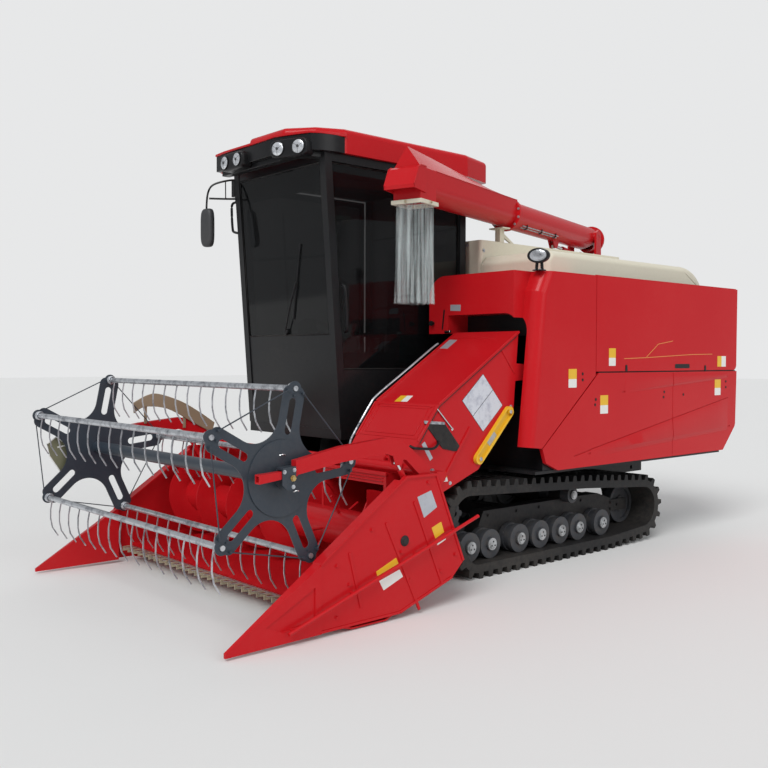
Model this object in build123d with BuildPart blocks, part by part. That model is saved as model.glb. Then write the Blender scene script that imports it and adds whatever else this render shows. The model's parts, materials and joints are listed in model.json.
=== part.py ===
from build123d import *
import os
from math import cos, hypot, radians, sin

# Tracked combine harvester, in millimetres. +X is the machine's left, the header faces -Y, +Z is up,
# and the origin is on the ground below the middle of the machine.

# Driving dimensions
track_centre = 600  # x of each track's centre line
track_width = 500
band_thickness = 54
lug_height = 42
lug_pitch = 94
roller_z = 195
roller_radius = 98
sprocket_at = (-585, 400)
idler_at = (1400, 280)
carrier_at = (640, 430)

body_left = 980  # outside of the left side panels
body_front = 30
body_rear = 2560
body_top = 2036
deck_top = 675

feeder_pivot = (-20, 1350)  # y, z
feeder_left, feeder_right = 855, 280
header_half = 1180  # inside face of each side plate
auger_at = (-1480, 430)
auger_radius = 245
auger_tube_radius = 110

reel_at = (-2239, 831)
reel_radius = 463
reel_arms_count = 5
reel_first_angle = -11.65  # of the first arm, from straight up towards the front
reel_spider_x = 1078
reel_pivot = (-1290, 800)
tine_length = 250

cab_left, cab_right = 0, -1120
cab_floor = 950
cab_top = 2830
engine_deck = 1330
machine_top = 3000

riser_at = (-428, 2330)  # x, y
boom_z = 2585
boom_bearing = 15.9  # from straight ahead towards the left, degrees
boom_radius = 110

os.makedirs("parts", exist_ok=True)


# Shared ways of making a solid inside the current part


def side_slab(points, x_low, x_high, mode=Mode.ADD):
    """Extrude an outline of (y, z) points from one x to another."""
    with BuildSketch(Plane.YZ.offset(x_low)) as outline:
        with BuildLine():
            Polyline(*points, close=True)
        make_face()
    extrude(outline.sketch, amount=x_high - x_low, mode=mode)


def plan_slab(points, z_low, z_high, mode=Mode.ADD):
    """Extrude an outline of (x, y) points from one z to another."""
    with BuildSketch(Plane.XY.offset(z_low)) as outline:
        with BuildLine():
            Polyline(*points, close=True)
        make_face()
    extrude(outline.sketch, amount=z_high - z_low, mode=mode)


def side_strip(start, end, half, x_low, x_high, mode=Mode.ADD):
    """A straight strip of a given half width between two (y, z) points of a side face."""
    run_y, run_z = end[0] - start[0], end[1] - start[1]
    length = hypot(run_y, run_z)
    off_y, off_z = -run_z / length * half, run_y / length * half
    corners = ((start[0] + off_y, start[1] + off_z), (end[0] + off_y, end[1] + off_z),
               (end[0] - off_y, end[1] - off_z), (start[0] - off_y, start[1] - off_z))
    side_slab(corners, x_low, x_high, mode)


def block(x, y, z, mode=Mode.ADD):
    """A box between the low and high values of x, y and z."""
    with Locations(((x[0] + x[1]) / 2, (y[0] + y[1]) / 2, (z[0] + z[1]) / 2)):
        Box(x[1] - x[0], y[1] - y[0], z[1] - z[0], mode=mode)


def cross_shaft(at, radius, x_low, x_high, mode=Mode.ADD):
    """A round bar along X at the place (y, z)."""
    with BuildSketch(Plane.YZ.offset(x_low)) as section:
        with Locations(at):
            Circle(radius)
    extrude(section.sketch, amount=x_high - x_low, mode=mode)


def rod(start, end, radius, mode=Mode.ADD):
    """A round bar from one point to another."""
    axis = Vector(*end) - Vector(*start)
    with BuildSketch(Plane(origin=start, z_dir=axis)) as section:
        Circle(radius)
    extrude(section.sketch, amount=axis.length, mode=mode)


def save(part, name):
    part.label = name
    export_step(part, f"parts/{name}.step")


# Crawler tracks

lug_band = lug_height + band_thickness
track_wheels = (  # y, z, radius out to the lugs' tips
    (*sprocket_at, 250),
    (-504, roller_z, roller_z),
    (956, roller_z, roller_z),
    (*idler_at, 250),
    (*carrier_at, 157),
)
roller_places = (-504, -301, -2, 225, 452, 665, 956)
sprocket_radius = 250 - lug_band - 2
idler_radius = sprocket_radius
carrier_radius = 157 - lug_band - 1
beam_half = 55


def loop_outline(shrink):
    """The closed line round the track's wheels, set in by the given amount."""
    circles = [Edge.make_circle(r - shrink, Plane(origin=(y, z, 0))) for y, z, r in track_wheels]
    return Wire.make_convex_hull(circles)


for side, name in ((1, "track_left"), (-1, "track_right")):
    with BuildPart() as track:
        with BuildSketch(Plane.YZ.offset(side * track_centre - track_width / 2)) as band:
            make_face(loop_outline(lug_height).edges())
            make_face(loop_outline(lug_band).edges(), mode=Mode.SUBTRACT)
        extrude(amount=track_width)
        run = loop_outline(lug_height)
        lug_count = 2 * round(run.length / lug_pitch / 2)
        for half, first in ((0, 0), (1, 0.5)):
            x_low = side * track_centre - track_width / 2 + half * (track_width / 2 - 20)
            with BuildSketch(Plane.YZ.offset(x_low)) as lugs:
                for number in range(lug_count):
                    place = run.location_at((number + first) / lug_count)
                    along = place.position + (0, 0, 0)
                    tangent = run.tangent_at((number + first) / lug_count)
                    normal = Vector(tangent.Y, -tangent.X, 0)
                    centre_yz = Vector(500, 350, 0)
                    if normal.dot(along - centre_yz) < 0:
                        normal = -normal
                    root = [along + tangent * s * 26 - normal * 6 for s in (-1, 1)]
                    tip = [along + tangent * s * 15 + normal * lug_height for s in (1, -1)]
                    with BuildLine():
                        Polyline(*[(p.X, p.Y) for p in root + tip], close=True)
                    make_face()
            extrude(amount=track_width / 2 + 20)
    save(track.part, name)

# Track frames: a beam between the two rows of rollers, with a fork for the idler

with BuildPart() as track_frames:
    for side in (1, -1):
        low, high = side * track_centre - beam_half, side * track_centre + beam_half
        side_slab(
            (
                (-545, 150), (1230, 150), (1230, 340), (1060, 395), (-250, 395), (-330, 235), (-545, 235)
            ), low, high
        )
        for x in (low, high - 10):
            side_slab(((1200, 235), (1445, 235), (1445, 325), (1200, 325)), x, x + 10)
        side_slab(((580, 390), (700, 390), (670, 460), (610, 460)), low, high)
save(track_frames.part, "track_frames")

with BuildPart() as track_rollers:
    for side in (1, -1):
        for face in (1, -1):
            beam_face = side * track_centre + face * beam_half
            for y in roller_places:
                for start, end, radius in (
                    (0, 6, 45), (6, 40, 98), (40, 84, 88), (84, 116, 98), (116, 130, 46)
                ):
                    x_a, x_b = sorted((beam_face + face * start, beam_face + face * end))
                    cross_shaft((y, roller_z), radius, x_a, x_b)
            for start, end, radius in ((0, 6, 30), (6, 80, carrier_radius), (80, 92, 34)):
                x_a, x_b = sorted((beam_face + face * start, beam_face + face * end))
                cross_shaft(carrier_at, radius, x_a, x_b)
save(track_rollers.part, "track_rollers")

with BuildPart() as track_idlers:
    for side in (1, -1):
        middle = side * track_centre
        cross_shaft(idler_at, idler_radius, middle - 36, middle + 36)
        cross_shaft(idler_at, 45, middle - beam_half + 10, middle + beam_half - 10)
        for x in (middle - 36, middle + 20):
            with BuildSketch(Plane.YZ.offset(x)) as dish:
                with Locations(idler_at):
                    Circle(idler_radius - 28)
                    Circle(60, mode=Mode.SUBTRACT)
            extrude(amount=16, mode=Mode.SUBTRACT)
save(track_idlers.part, "track_idlers")

with BuildPart() as drive_sprockets:
    for side in (1, -1):
        x_low = side * track_centre - 30
        with BuildSketch(Plane.YZ.offset(x_low)) as toothed:
            with Locations(sprocket_at):
                Circle(sprocket_radius - 26)
                with PolarLocations(sprocket_radius - 22, 10):
                    RegularPolygon(22, 6)
                with PolarLocations(80, 5):
                    Circle(20, mode=Mode.SUBTRACT)
        extrude(amount=60)
        cross_shaft(sprocket_at, 48, side * track_centre - beam_half, side * track_centre + beam_half)
save(drive_sprockets.part, "drive_sprockets")

with BuildPart() as drive_gearbox:
    side_slab(
        (
            (-700, 340), (-640, 300), (-500, 300), (-470, 340), (-470, 540), (-520, 575), (-660, 575),
            (-700, 520),
        ), -240, 240
    )
    cross_shaft(sprocket_at, 70, -545, 545)
    for x in (-545, 495):
        cross_shaft(sprocket_at, 110, x, x + 50)
save(drive_gearbox.part, "drive_gearbox")

# Chassis: two rails, cross tubes into the track frames, and the deck that carries the bodies

rail_low, rail_high = 160, 240
tow_pin_at, tow_pin_radius = (0, 2355), 15  # x, y
tie_down_at, tie_down_radius = (2140, 480), 17  # y, z
lift_base = (-60, 500)
with BuildPart() as chassis_frame:
    for side in (1, -1):
        x_a, x_b = sorted((side * rail_low, side * rail_high))
        block((x_a, x_b), (-470, 2300), (440, 520))
        for y in (20, 940):
            block((x_a, x_b), (y, y + 100), (385, 445))
        for y in (-300, 700, 1500, 2180):
            block((x_a, x_b), (y, y + 80), (520, 655))
    for y in (20, 940):
        block((-545, 545), (y, y + 100), (300, 390))
    plan_slab(
        ((-1080, -400), (0, -400), (0, -60), (950, -60), (950, 2370), (110, 2370), (110, 2520), (-1000, 2520),
         (-1000, 290), (-1080, 290)), 655, deck_top,
    )
    side_slab(((-110, 440), (-10, 440), (-10, 550), (-110, 550)), rail_high, 258)
    cross_shaft(lift_base, 15, 258, 342)
    block((-rail_low, rail_low), (2220, 2290), (445, 515))
    plan_slab(((-60, 2280), (60, 2280), (38, 2395), (-38, 2395)), 468, 493)
    with BuildSketch(Plane.XY.offset(460)) as tow_bore:
        with Locations(tow_pin_at):
            Circle(tow_pin_radius)
    extrude(amount=40, mode=Mode.SUBTRACT)
    cross_shaft(tie_down_at, tie_down_radius, -rail_high - 10, rail_high + 10, Mode.SUBTRACT)
save(chassis_frame.part, "chassis_frame")

# Engine, one plain block, under its cowl

with BuildPart() as engine:
    block((-860, -260), (-330, 180), (deck_top, 1230))
save(engine.part, "engine")

cowl_right = -1080
with BuildPart() as engine_cowl:
    block((cowl_right, cab_left), (-400, 250), (deck_top, engine_deck))
    block((cowl_right + 15, cab_left - 15), (-385, 235), (deck_top - 10, engine_deck - 15), Mode.SUBTRACT)
    block((cowl_right - 5, cowl_right + 20), (-350, 200), (720, 1290), Mode.SUBTRACT)
save(engine_cowl.part, "engine_cowl")

screen_hinge = (cowl_right - 18, 220)  # x, y
with BuildPart() as engine_screen:
    block((cowl_right - 28, cowl_right - 8), (-375, 225), (700, 1310))
    block((cowl_right - 30, cowl_right + 10), (-330, 180), (745, 1265), Mode.SUBTRACT)
    for number in range(9):
        z = 765 + number * 58
        side_slab(((-332, z), (182, z), (182, z + 30), (-332, z + 30)), cowl_right - 22, cowl_right - 14)
    for z in (760, 1170):
        rod((*screen_hinge, z), (*screen_hinge, z + 80), 13)
save(engine_screen.part, "engine_screen")

# Threshing body

body_right = 120
with BuildPart() as threshing_housing:
    side_slab(
        (
            (body_front, deck_top), (2370, deck_top), (body_rear, 865), (body_rear, 2024),
            (body_front, 2024),
        ), body_right, 940
    )
    side_slab(
        ((body_front + 14, deck_top - 10), (2356, deck_top - 10), (2356, deck_top), (body_rear - 14, 870), (body_rear - 14, 2010),
         (body_front + 14, 2010)),
        body_right + 14, 926, Mode.SUBTRACT,
    )
    block((300, 840), (body_front - 5, body_front + 20), (1110, 1600), Mode.SUBTRACT)
    block((160, 900), (body_rear - 20, body_rear + 5), (1100, 1330), Mode.SUBTRACT)
    for x in (243, 865):  # bearings of the feeder's trunnions
        side_slab(((30, 1285), (30, 1415), (-40, 1415), (-76, 1380), (-76, 1320), (-40, 1285)), x, x + 28)
        cross_shaft(feeder_pivot, 41, x, x + 28, Mode.SUBTRACT)
save(threshing_housing.part, "threshing_housing")

seam_y = 572
mouth_left, mouth_top = 895, 1750
with BuildPart() as front_cowl:
    side_slab(
        ((seam_y, body_top), (10, body_top), (-60, 1900), (-180, 850), (-26, 834), (seam_y, 1322)), 40,
        body_left,
    )
    outer_edges = front_cowl.edges().filter_by_position(Axis.X, body_left - 1, body_left + 1)
    fillet([e for e in outer_edges if e.center().Y < 0 and e.center().Z > 1000], 82)
    block((40, 850), (-175, 10), (1620, body_top))
    block((0, 952), (body_front, seam_y + 10), (600, 2024), Mode.SUBTRACT)
    block((0, 112), (285, seam_y + 10), (600, body_top + 10), Mode.SUBTRACT)
    with BuildSketch(Plane.XZ.offset(-body_front - 1)) as mouth:
        with BuildLine():
            Polyline((235, 600), (mouth_left, 600), (mouth_left, mouth_top), (235, mouth_top), close=True)
        make_face()
        fillet(mouth.vertices().sort_by(lambda v: v.X + v.Y)[-1], 130)
    extrude(amount=330, mode=Mode.SUBTRACT)
    block((0, 240), (-300, body_front + 1), (600, 1620), Mode.SUBTRACT)
    with BuildSketch(Plane.XZ.offset(-seam_y)) as corner:
        with Locations((120, body_top - 80)):
            Rectangle(160, 160)
        with Locations((200, body_top - 160)):
            Circle(160, mode=Mode.SUBTRACT)
    extrude(amount=seam_y + 200, mode=Mode.SUBTRACT)
save(front_cowl.part, "front_cowl")

side_hinge = (966, 2025)  # x, z
with BuildPart() as side_door:
    side_slab(((seam_y + 6, 1350), (2588, 1350), (2592, body_top), (seam_y + 6, body_top)), 952, body_left)
    bottom_rear = side_door.edges().filter_by(Axis.X).sort_by(lambda e: e.center().Y - e.center().Z)[-1]
    fillet(bottom_rear, 45)
    with BuildSketch(Plane.YZ.offset(body_left)) as grip:
        with Locations((1720, 1386)):
            SlotOverall(110, 30)
    extrude(amount=-14, mode=Mode.SUBTRACT)
    for y in (700, 1525, 2350):
        rod((side_hinge[0], y, side_hinge[1]), (side_hinge[0], y + 120, side_hinge[1]), 14)
save(side_door.part, "side_door")

panel_creases = (  # pressed lines of the lower panel, (y, z) to (y, z)
    ((326, 761), (2455, 1115)),
    ((488, 767), (2492, 874)),
    ((894, 1197), (2450, 1298)),
)
with BuildPart() as lower_side_panel:
    side_slab(
        (
            (612, 1340), (2595, 1340), (2581, 875), (2379, deck_top), (148, deck_top), (20, 730), (-20, 829)
        ), 952, body_left
    )
    fillet(lower_side_panel.edges().filter_by(Axis.X).sort_by(lambda e: e.center().Z - e.center().Y)[0], 60)
    for start, end in panel_creases:
        side_strip(start, end, 5, body_left - 5, body_left + 2, Mode.SUBTRACT)
    side_strip((1590, deck_top - 5), (1590, 1345), 3, body_left - 6, body_left + 2, Mode.SUBTRACT)
save(lower_side_panel.part, "lower_side_panel")

with BuildPart() as drum_cover:
    with BuildSketch(Plane.YZ.offset(body_right)) as cover_profile:
        with BuildLine():
            Polyline(
                (300, body_top), (300, 2160), (360, 2220), (2110, 2220), (2430, 2050), (2430, 2024),
                (seam_y + 6, 2024), (seam_y + 6, body_top), close=True,
            )
        make_face()
        fillet(cover_profile.vertices().filter_by(lambda v: v.Y > 2155), 45)
    extrude(amount=630)
    rim = drum_cover.edges().filter_by_position(Axis.X, 749, 751)
    fillet([e for e in rim if e.center().Z > 2055], 50)
    side_slab(
        (
            (345, 2060), (345, 2150), (385, 2190), (2090, 2190), (2385, 2043), (2385, 2014), (600, 2014),
            (600, 2060),
        ),
        body_right + 25, 700, Mode.SUBTRACT,
    )
save(drum_cover.part, "drum_cover")

with BuildPart() as rear_hood:
    side_slab(((body_rear, 1060), (body_rear, 1380), (2622, 1350), (2650, 1100), (2650, 1060)), 130, 940)
    fillet(
        rear_hood.edges().filter_by(Axis.X).filter_by(lambda e: e.center().Y > 2600 and e.center().Z > 1090),
        18,
    )
    side_slab(
        (
            (body_rear - 5, 1050), (body_rear - 5, 1366), (2612, 1340), (2638, 1100), (2638, 1050)
        ), 142, 928, Mode.SUBTRACT
    )
save(rear_hood.part, "rear_hood")

tank_front, tank_rear, tank_top = 310, 2150, 2350
with BuildPart() as grain_tank:
    block((-1000, 100), (tank_front, tank_rear), (deck_top, tank_top))
    fillet(grain_tank.edges().filter_by(Axis.Z), 30)
    block((-988, 88), (tank_front + 12, tank_rear - 12), (deck_top - 10, tank_top - 12), Mode.SUBTRACT)
save(grain_tank.part, "grain_tank")

# Cab


def pillar_front(z):
    """y of the front of the cab at a height."""
    return -981 - 0.075 * (z - cab_floor)


with BuildPart() as cab_frame:
    block((cab_right, cab_left), (-975, -400), (880, cab_floor))
    for x in (cab_right, cab_left - 60):
        side_slab(
            ((pillar_front(cab_floor), cab_floor), (pillar_front(cab_top), cab_top),
             (pillar_front(cab_top) + 60, cab_top), (pillar_front(cab_floor) + 60, cab_floor)),
            x, x + 60,
        )
        block((x, x + 60), (190, 250), (engine_deck, cab_top))
        block((x, x + 60), (-1070, 200), (2770, cab_top))
        block((x, x + 60), (-400, 200), (engine_deck, engine_deck + 30))
    block((cab_right, cab_left), (190, 250), (2770, cab_top))
    block((cab_right, cab_left), (190, 250), (engine_deck, 1500))
    block((cab_right, cab_left), (-1115, -1055), (2770, cab_top))
    side_slab(
        (
            (pillar_front(950) + 8, 950), (pillar_front(1600) + 8, 1600), (pillar_front(1600) + 30, 1600),
            (pillar_front(950) + 30, 950),
        ),
        cab_right + 55, cab_left - 55,
    )
    side_slab(
        ((-925, cab_floor), (-400, cab_floor), (-400, engine_deck + 30), (-950, engine_deck + 30)),
        cab_left - 25, cab_left,
    )
save(cab_frame.part, "cab_frame")

with BuildPart() as cab_glass:
    side_slab(
        (
            (pillar_front(1602) + 10, 1602), (pillar_front(2768) + 10, 2768),
            (pillar_front(2768) + 18, 2768), (pillar_front(1602) + 18, 1602),
        ),
        cab_right + 62, cab_left - 62,
    )
    side_slab(
        (
            (pillar_front(1362) + 62, 1362), (pillar_front(2768) + 62, 2768), (188, 2768), (188, 1362)
        ), cab_left - 30, cab_left - 22
    )
    block((cab_right + 62, cab_left - 62), (215, 223), (1502, 2768))
save(cab_glass.part, "cab_glass")

door_hinge = (cab_right - 18, 175)  # x, y
door_outline = ((-905, 965), (-415, 965), (-415, 1375), (180, 1375), (180, 2760), (-1040, 2760))
door_window = ((-860, 1010), (-460, 1010), (-460, 1420), (135, 1420), (135, 2715), (-985, 2715))
with BuildPart() as cab_door:
    side_slab(door_outline, cab_right - 28, cab_right - 8)
    side_slab(door_window, cab_right - 30, cab_right, Mode.SUBTRACT)
    for z in (1480, 2560):
        rod((*door_hinge, z), (*door_hinge, z + 90), 13)
    block((cab_right - 40, cab_right - 28), (-900, -880), (1500, 1720))
save(cab_door.part, "cab_door")

with BuildPart() as cab_door_glass:
    side_slab(door_window, cab_right - 21, cab_right - 15)
save(cab_door_glass.part, "cab_door_glass")

roof_step_x = -640
with BuildPart() as cab_roof:
    plan_slab(
        (
            (-1160, -1200), (-1080, -1290), (-240, -1290), (-60, -1150), (30, -960), (30, 235), (-66, 560),
            (-1160, 560),
        ),
        cab_top, machine_top,
    )
    fillet(cab_roof.edges().filter_by(Axis.Z), 40)
    fillet(cab_roof.faces().sort_by(Axis.Z)[-1].edges(), 40)
    side_slab(((-1300, 2945), (-1300, 3010), (-1000, 3010)), -1200, roof_step_x, Mode.SUBTRACT)
    block((-1120, -100), (-1100, 500), (cab_top + 12, machine_top - 60), Mode.SUBTRACT)
    block((cab_right + 62, cab_left - 62), (-1050, 186), (cab_top - 5, cab_top + 20), Mode.SUBTRACT)
    block((-1130, -150), (-1320, -1255), (cab_top - 5, 2948), Mode.SUBTRACT)
save(cab_roof.part, "cab_roof")

lamp_pods = ((-950, 2868), (-330, 2886))  # x and z of the middle of each pair of lamps
with BuildPart() as roof_fascia:
    block((-1130, -150), (-1285, -1255), (2828, 2948))
    block((-1060, -190), (-1262, -1200), (2790, cab_top))
    for x, z in lamp_pods:
        with BuildSketch(Plane.XZ.offset(1255)) as pod:
            with Locations((x, z)):
                RectangleRounded(290, 122, 45)
        extrude(amount=85, taper=8)
save(roof_fascia.part, "roof_fascia")

with BuildPart() as roof_lamps:
    for middle, z in lamp_pods:
        for x in (middle - 66, middle + 66):
            with BuildSketch(Plane.XZ.offset(1340)) as lamp:
                with Locations((x, z)):
                    Circle(46)
            extrude(amount=14, taper=20)
save(roof_lamps.part, "roof_lamps")

with BuildPart() as operator_seat:
    block((-800, -320), (-320, 140), (engine_deck, 1440))
    side_slab(((60, 1440), (160, 1440), (180, 1960), (100, 1990), (60, 1960)), -780, -340)
save(operator_seat.part, "operator_seat")

with BuildPart() as control_console:
    block((-260, -70), (-760, -410), (cab_floor, 1480))
    block((-660, -460), (-880, -760), (cab_floor, 1560))
save(control_console.part, "control_console")

with BuildPart() as cab_steps:
    for z, y in ((430, -760), (620, -700)):
        block((cab_right, -900), (y, y + 240), (z, z + 25))
    for x in (cab_right, -912):
        side_slab(((-760, 430), (-520, 430), (-440, 880), (-700, 880)), x, x + 12)
save(cab_steps.part, "cab_steps")

with BuildPart() as mirrors:
    block((-1262, -1240), (-1350, -1210), (2280, 2570))
    block((cab_right - 8, cab_right), (-1100, -1060), (2630, 2810))
    for z in (2650, 2790):
        rod((cab_right - 8, -1080, z), (-1250, -1280, z), 9)
    rod((-1250, -1280, 2799), (-1250, -1280, 2500), 9)
save(mirrors.part, "mirrors")

with BuildPart() as work_lamps:
    block((915, 945), (-20, 20), (body_top, 2110))
    with BuildSketch(Plane.XZ.offset(55)) as lamp_face:
        with Locations((930, 2150)):
            Circle(68)
    extrude(amount=-85, taper=12)
save(work_lamps.part, "work_lamps")

# Unloading gear

bearing = radians(boom_bearing)
boom_x, boom_y = sin(bearing), -cos(bearing)


def on_boom(s, up=0.0, across=0.0):
    """A point s along the boom from the riser, with offsets up and across."""
    return (riser_at[0] + boom_x * s + boom_y * across, riser_at[1] + boom_y * s - boom_x * across, boom_z + up)


boom_plane = Plane(origin=on_boom(0), x_dir=(boom_x, boom_y, 0), z_dir=(boom_y, -boom_x, 0))


def boom_slab(points, low, high, mode=Mode.ADD):
    """Extrude an outline of (along, up) points across the boom, between two offsets."""
    with BuildSketch(boom_plane.offset(low)) as outline:
        with BuildLine():
            Polyline(*points, close=True)
        make_face()
    extrude(outline.sketch, amount=high - low, mode=mode)


with BuildPart() as unloading_riser:
    rod((*riser_at, deck_top), (*riser_at, 2330), 130)
    rod((*riser_at, 2300), (*riser_at, 2330), 165)
    block((riser_at[0] - 60, riser_at[0] + 60), (tank_rear, 2215), (1900, 1960))
    block((riser_at[0] - 60, riser_at[0] + 60), (tank_rear, 2215), (1100, 1160))
    rod((*riser_at, deck_top - 10), (*riser_at, 2350), 118, Mode.SUBTRACT)
save(unloading_riser.part, "unloading_riser")

boom_cylinder_base = (160, 2405 - boom_z)
boom_cylinder_eye = (760, -145)
with BuildPart() as boom_turret:
    rod((*riser_at, 2335), (*riser_at, 2375), 165)
    for low in (-142, 124):
        boom_slab(((-70, -230), (70, -230), (60, 40), (0, 70), (-60, 40)), low, low + 18)
    for low in (-38, 28):
        boom_slab(((120, -225), (200, -225), (200, -150), (120, -150)), low, low + 10)
    boom_slab(((60, -225), (200, -225), (200, -212), (60, -212)), -38, 38)
    rod((*riser_at, 2330), (*riser_at, 2380), 100, Mode.SUBTRACT)
    for low in (-142, 124):
        with BuildSketch(boom_plane.offset(low)) as bore:
            Circle(21)
        extrude(amount=18, mode=Mode.SUBTRACT)
    with BuildSketch(boom_plane.offset(-38)) as pin:
        with Locations(boom_cylinder_base):
            Circle(9)
    extrude(amount=76)
save(boom_turret.part, "boom_turret")

collar_s = 1740
outlet_s, outlet_end, visor_end = 3045, 3250, 3350
trough_half = 104


def hood_section(s, inset, ridge, belly=True):
    """Section of the boom's hooded front: upright sides under a ridge, over a round belly or open ends."""
    half = trough_half - inset
    with BuildSketch(
        Plane(origin=on_boom(s), x_dir=(-boom_y, boom_x, 0), z_dir=(boom_x, boom_y, 0))
    ) as section:
        with BuildLine():
            if belly:
                Polyline((half, 0), (half, half), (0, ridge - inset), (-half, half), (-half, 0))
                CenterArc((0, 0), half, 180, 180)
            else:
                Polyline(
                    (half, -104), (half, half), (0, ridge - inset), (-half, half), (-half, -104), close=True
                )
        make_face()
    return section.sketch


with BuildPart() as boom_tube:
    rod(on_boom(-185), on_boom(collar_s + 4), boom_radius)
    rod(on_boom(-185), on_boom(-165), boom_radius + 22)
    rod(on_boom(collar_s - 20), on_boom(collar_s + 20), boom_radius + 24)
    loft([hood_section(collar_s + 10, 0, 132), hood_section(outlet_s, 0, 232)])
    loft([hood_section(outlet_s, 0, 232, belly=False), hood_section(outlet_end, 0, 246, belly=False)])
    boom_slab(
        (
            (outlet_end - 60, 108), (3268, 108), (3296, 92), (visor_end, -22), (visor_end - 4, -46),
            (outlet_end - 60, -60),
        ),
        -trough_half - 10, trough_half + 10,
    )
    for low in (-121, 100):
        with BuildSketch(boom_plane.offset(low)) as trunnion:
            Circle(55)
        extrude(amount=21)
    for low in (-140, 110):
        with BuildSketch(boom_plane.offset(low)) as pin:
            Circle(18)
        extrude(amount=30)
    for low in (-26, 16):
        boom_slab(((735, -170), (785, -170), (840, -90), (680, -90)), low, low + 10)
    with BuildSketch(boom_plane.offset(-26)) as eye_pin:
        with Locations(boom_cylinder_eye):
            Circle(7)
    extrude(amount=52)
    rod(on_boom(-150), on_boom(collar_s + 30), 94, Mode.SUBTRACT)
    loft([hood_section(collar_s + 25, 8, 132), hood_section(outlet_s + 8, 8, 232)], mode=Mode.SUBTRACT)
    boom_slab(
        ((outlet_s + 8, -120), (outlet_end - 8, -120), (outlet_end - 8, 96), (outlet_s + 8, 96)), -96, 96,
        Mode.SUBTRACT,
    )
    boom_slab(
        (
            (outlet_end, -80), (outlet_end, 98), (3266, 98), (3290, 84), (visor_end - 10, -24),
            (visor_end - 16, -80),
        ),
        -trough_half, trough_half, Mode.SUBTRACT,
    )
    with BuildSketch(Plane.XY.offset(boom_z - 140)) as inlet:
        with Locations(riser_at):
            Circle(86)
    extrude(amount=140, mode=Mode.SUBTRACT)
save(boom_tube.part, "boom_tube")

with BuildPart() as curtain_frame:
    boom_slab(
        ((outlet_s - 12, -130), (outlet_s - 12, -104), (outlet_end + 12, -104), (outlet_end + 12, -130)),
        -116, 116,
    )
    boom_slab(
        ((outlet_s + 4, -140), (outlet_s + 4, -80), (outlet_end - 4, -80), (outlet_end - 4, -140)), -100,
        100, Mode.SUBTRACT,
    )
save(curtain_frame.part, "curtain_frame")

with BuildPart() as spout_curtain:
    boom_slab(
        ((outlet_s + 4, -785), (outlet_s + 4, -108), (outlet_end - 4, -108), (outlet_end - 4, -785)), -100,
        100,
    )
    boom_slab(
        ((outlet_s + 8, -800), (outlet_s + 8, -90), (outlet_end - 8, -90), (outlet_end - 8, -800)), -96, 96,
        Mode.SUBTRACT,
    )
save(spout_curtain.part, "spout_curtain")


def on_cylinder(base, tilt, s):
    """The point of a side plane that lies s along a cylinder from its base."""
    return (base[0] + tilt[0] * s, base[1] + tilt[1] * s)


def cylinder_line(base, eye):
    """Direction and length of a cylinder that lies in a side plane."""
    run = (eye[0] - base[0], eye[1] - base[1])
    length = hypot(*run)
    return (run[0] / length, run[1] / length), length


barrel_length = 400
cylinder_tilt, cylinder_length = cylinder_line(boom_cylinder_base, boom_cylinder_eye)


def cylinder_point(s):
    """A point s along the boom's cylinder."""
    return on_boom(*on_cylinder(boom_cylinder_base, cylinder_tilt, s))


with BuildPart() as boom_barrel:
    rod(cylinder_point(20), cylinder_point(barrel_length), 24)
    with BuildSketch(boom_plane.offset(-18)) as eye:
        with Locations(boom_cylinder_base):
            Circle(22)
    extrude(amount=36)
    with BuildSketch(boom_plane.offset(-18)) as eye_bore:
        with Locations(boom_cylinder_base):
            Circle(9.6)
    extrude(amount=36, mode=Mode.SUBTRACT)
    rod(cylinder_point(60), cylinder_point(barrel_length), 15, Mode.SUBTRACT)
save(boom_barrel.part, "boom_barrel")

with BuildPart() as boom_rod:
    rod(cylinder_point(230), cylinder_point(cylinder_length - 21), 14)
    with BuildSketch(boom_plane.offset(-10)) as rod_eye:
        with Locations(boom_cylinder_eye):
            Circle(27)
    extrude(amount=20)
    with BuildSketch(boom_plane.offset(-10)) as rod_bore:
        with Locations(boom_cylinder_eye):
            Circle(19)
    extrude(amount=20, mode=Mode.SUBTRACT)
save(boom_rod.part, "boom_rod")

rest_s = 1850
with BuildPart() as boom_rest:
    rest_x, rest_y, _ = on_boom(rest_s)
    block((rest_x - 70, rest_x + 70), (rest_y - 45, rest_y + 45), (boom_z - 133, boom_z - 123))
    block((rest_x - 25, rest_x + 25), (rest_y - 25, rest_y + 25), (tank_top, boom_z - 130))
    side_slab(
        ((rest_y + 20, 2435), (rest_y + 20, 2400), (rest_y + 130, tank_top), (rest_y + 165, tank_top)),
        rest_x - 8, rest_x + 8,
    )
save(boom_rest.part, "boom_rest")

# Header: feeder house, trough with its auger, dividers, cutter bar

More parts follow.
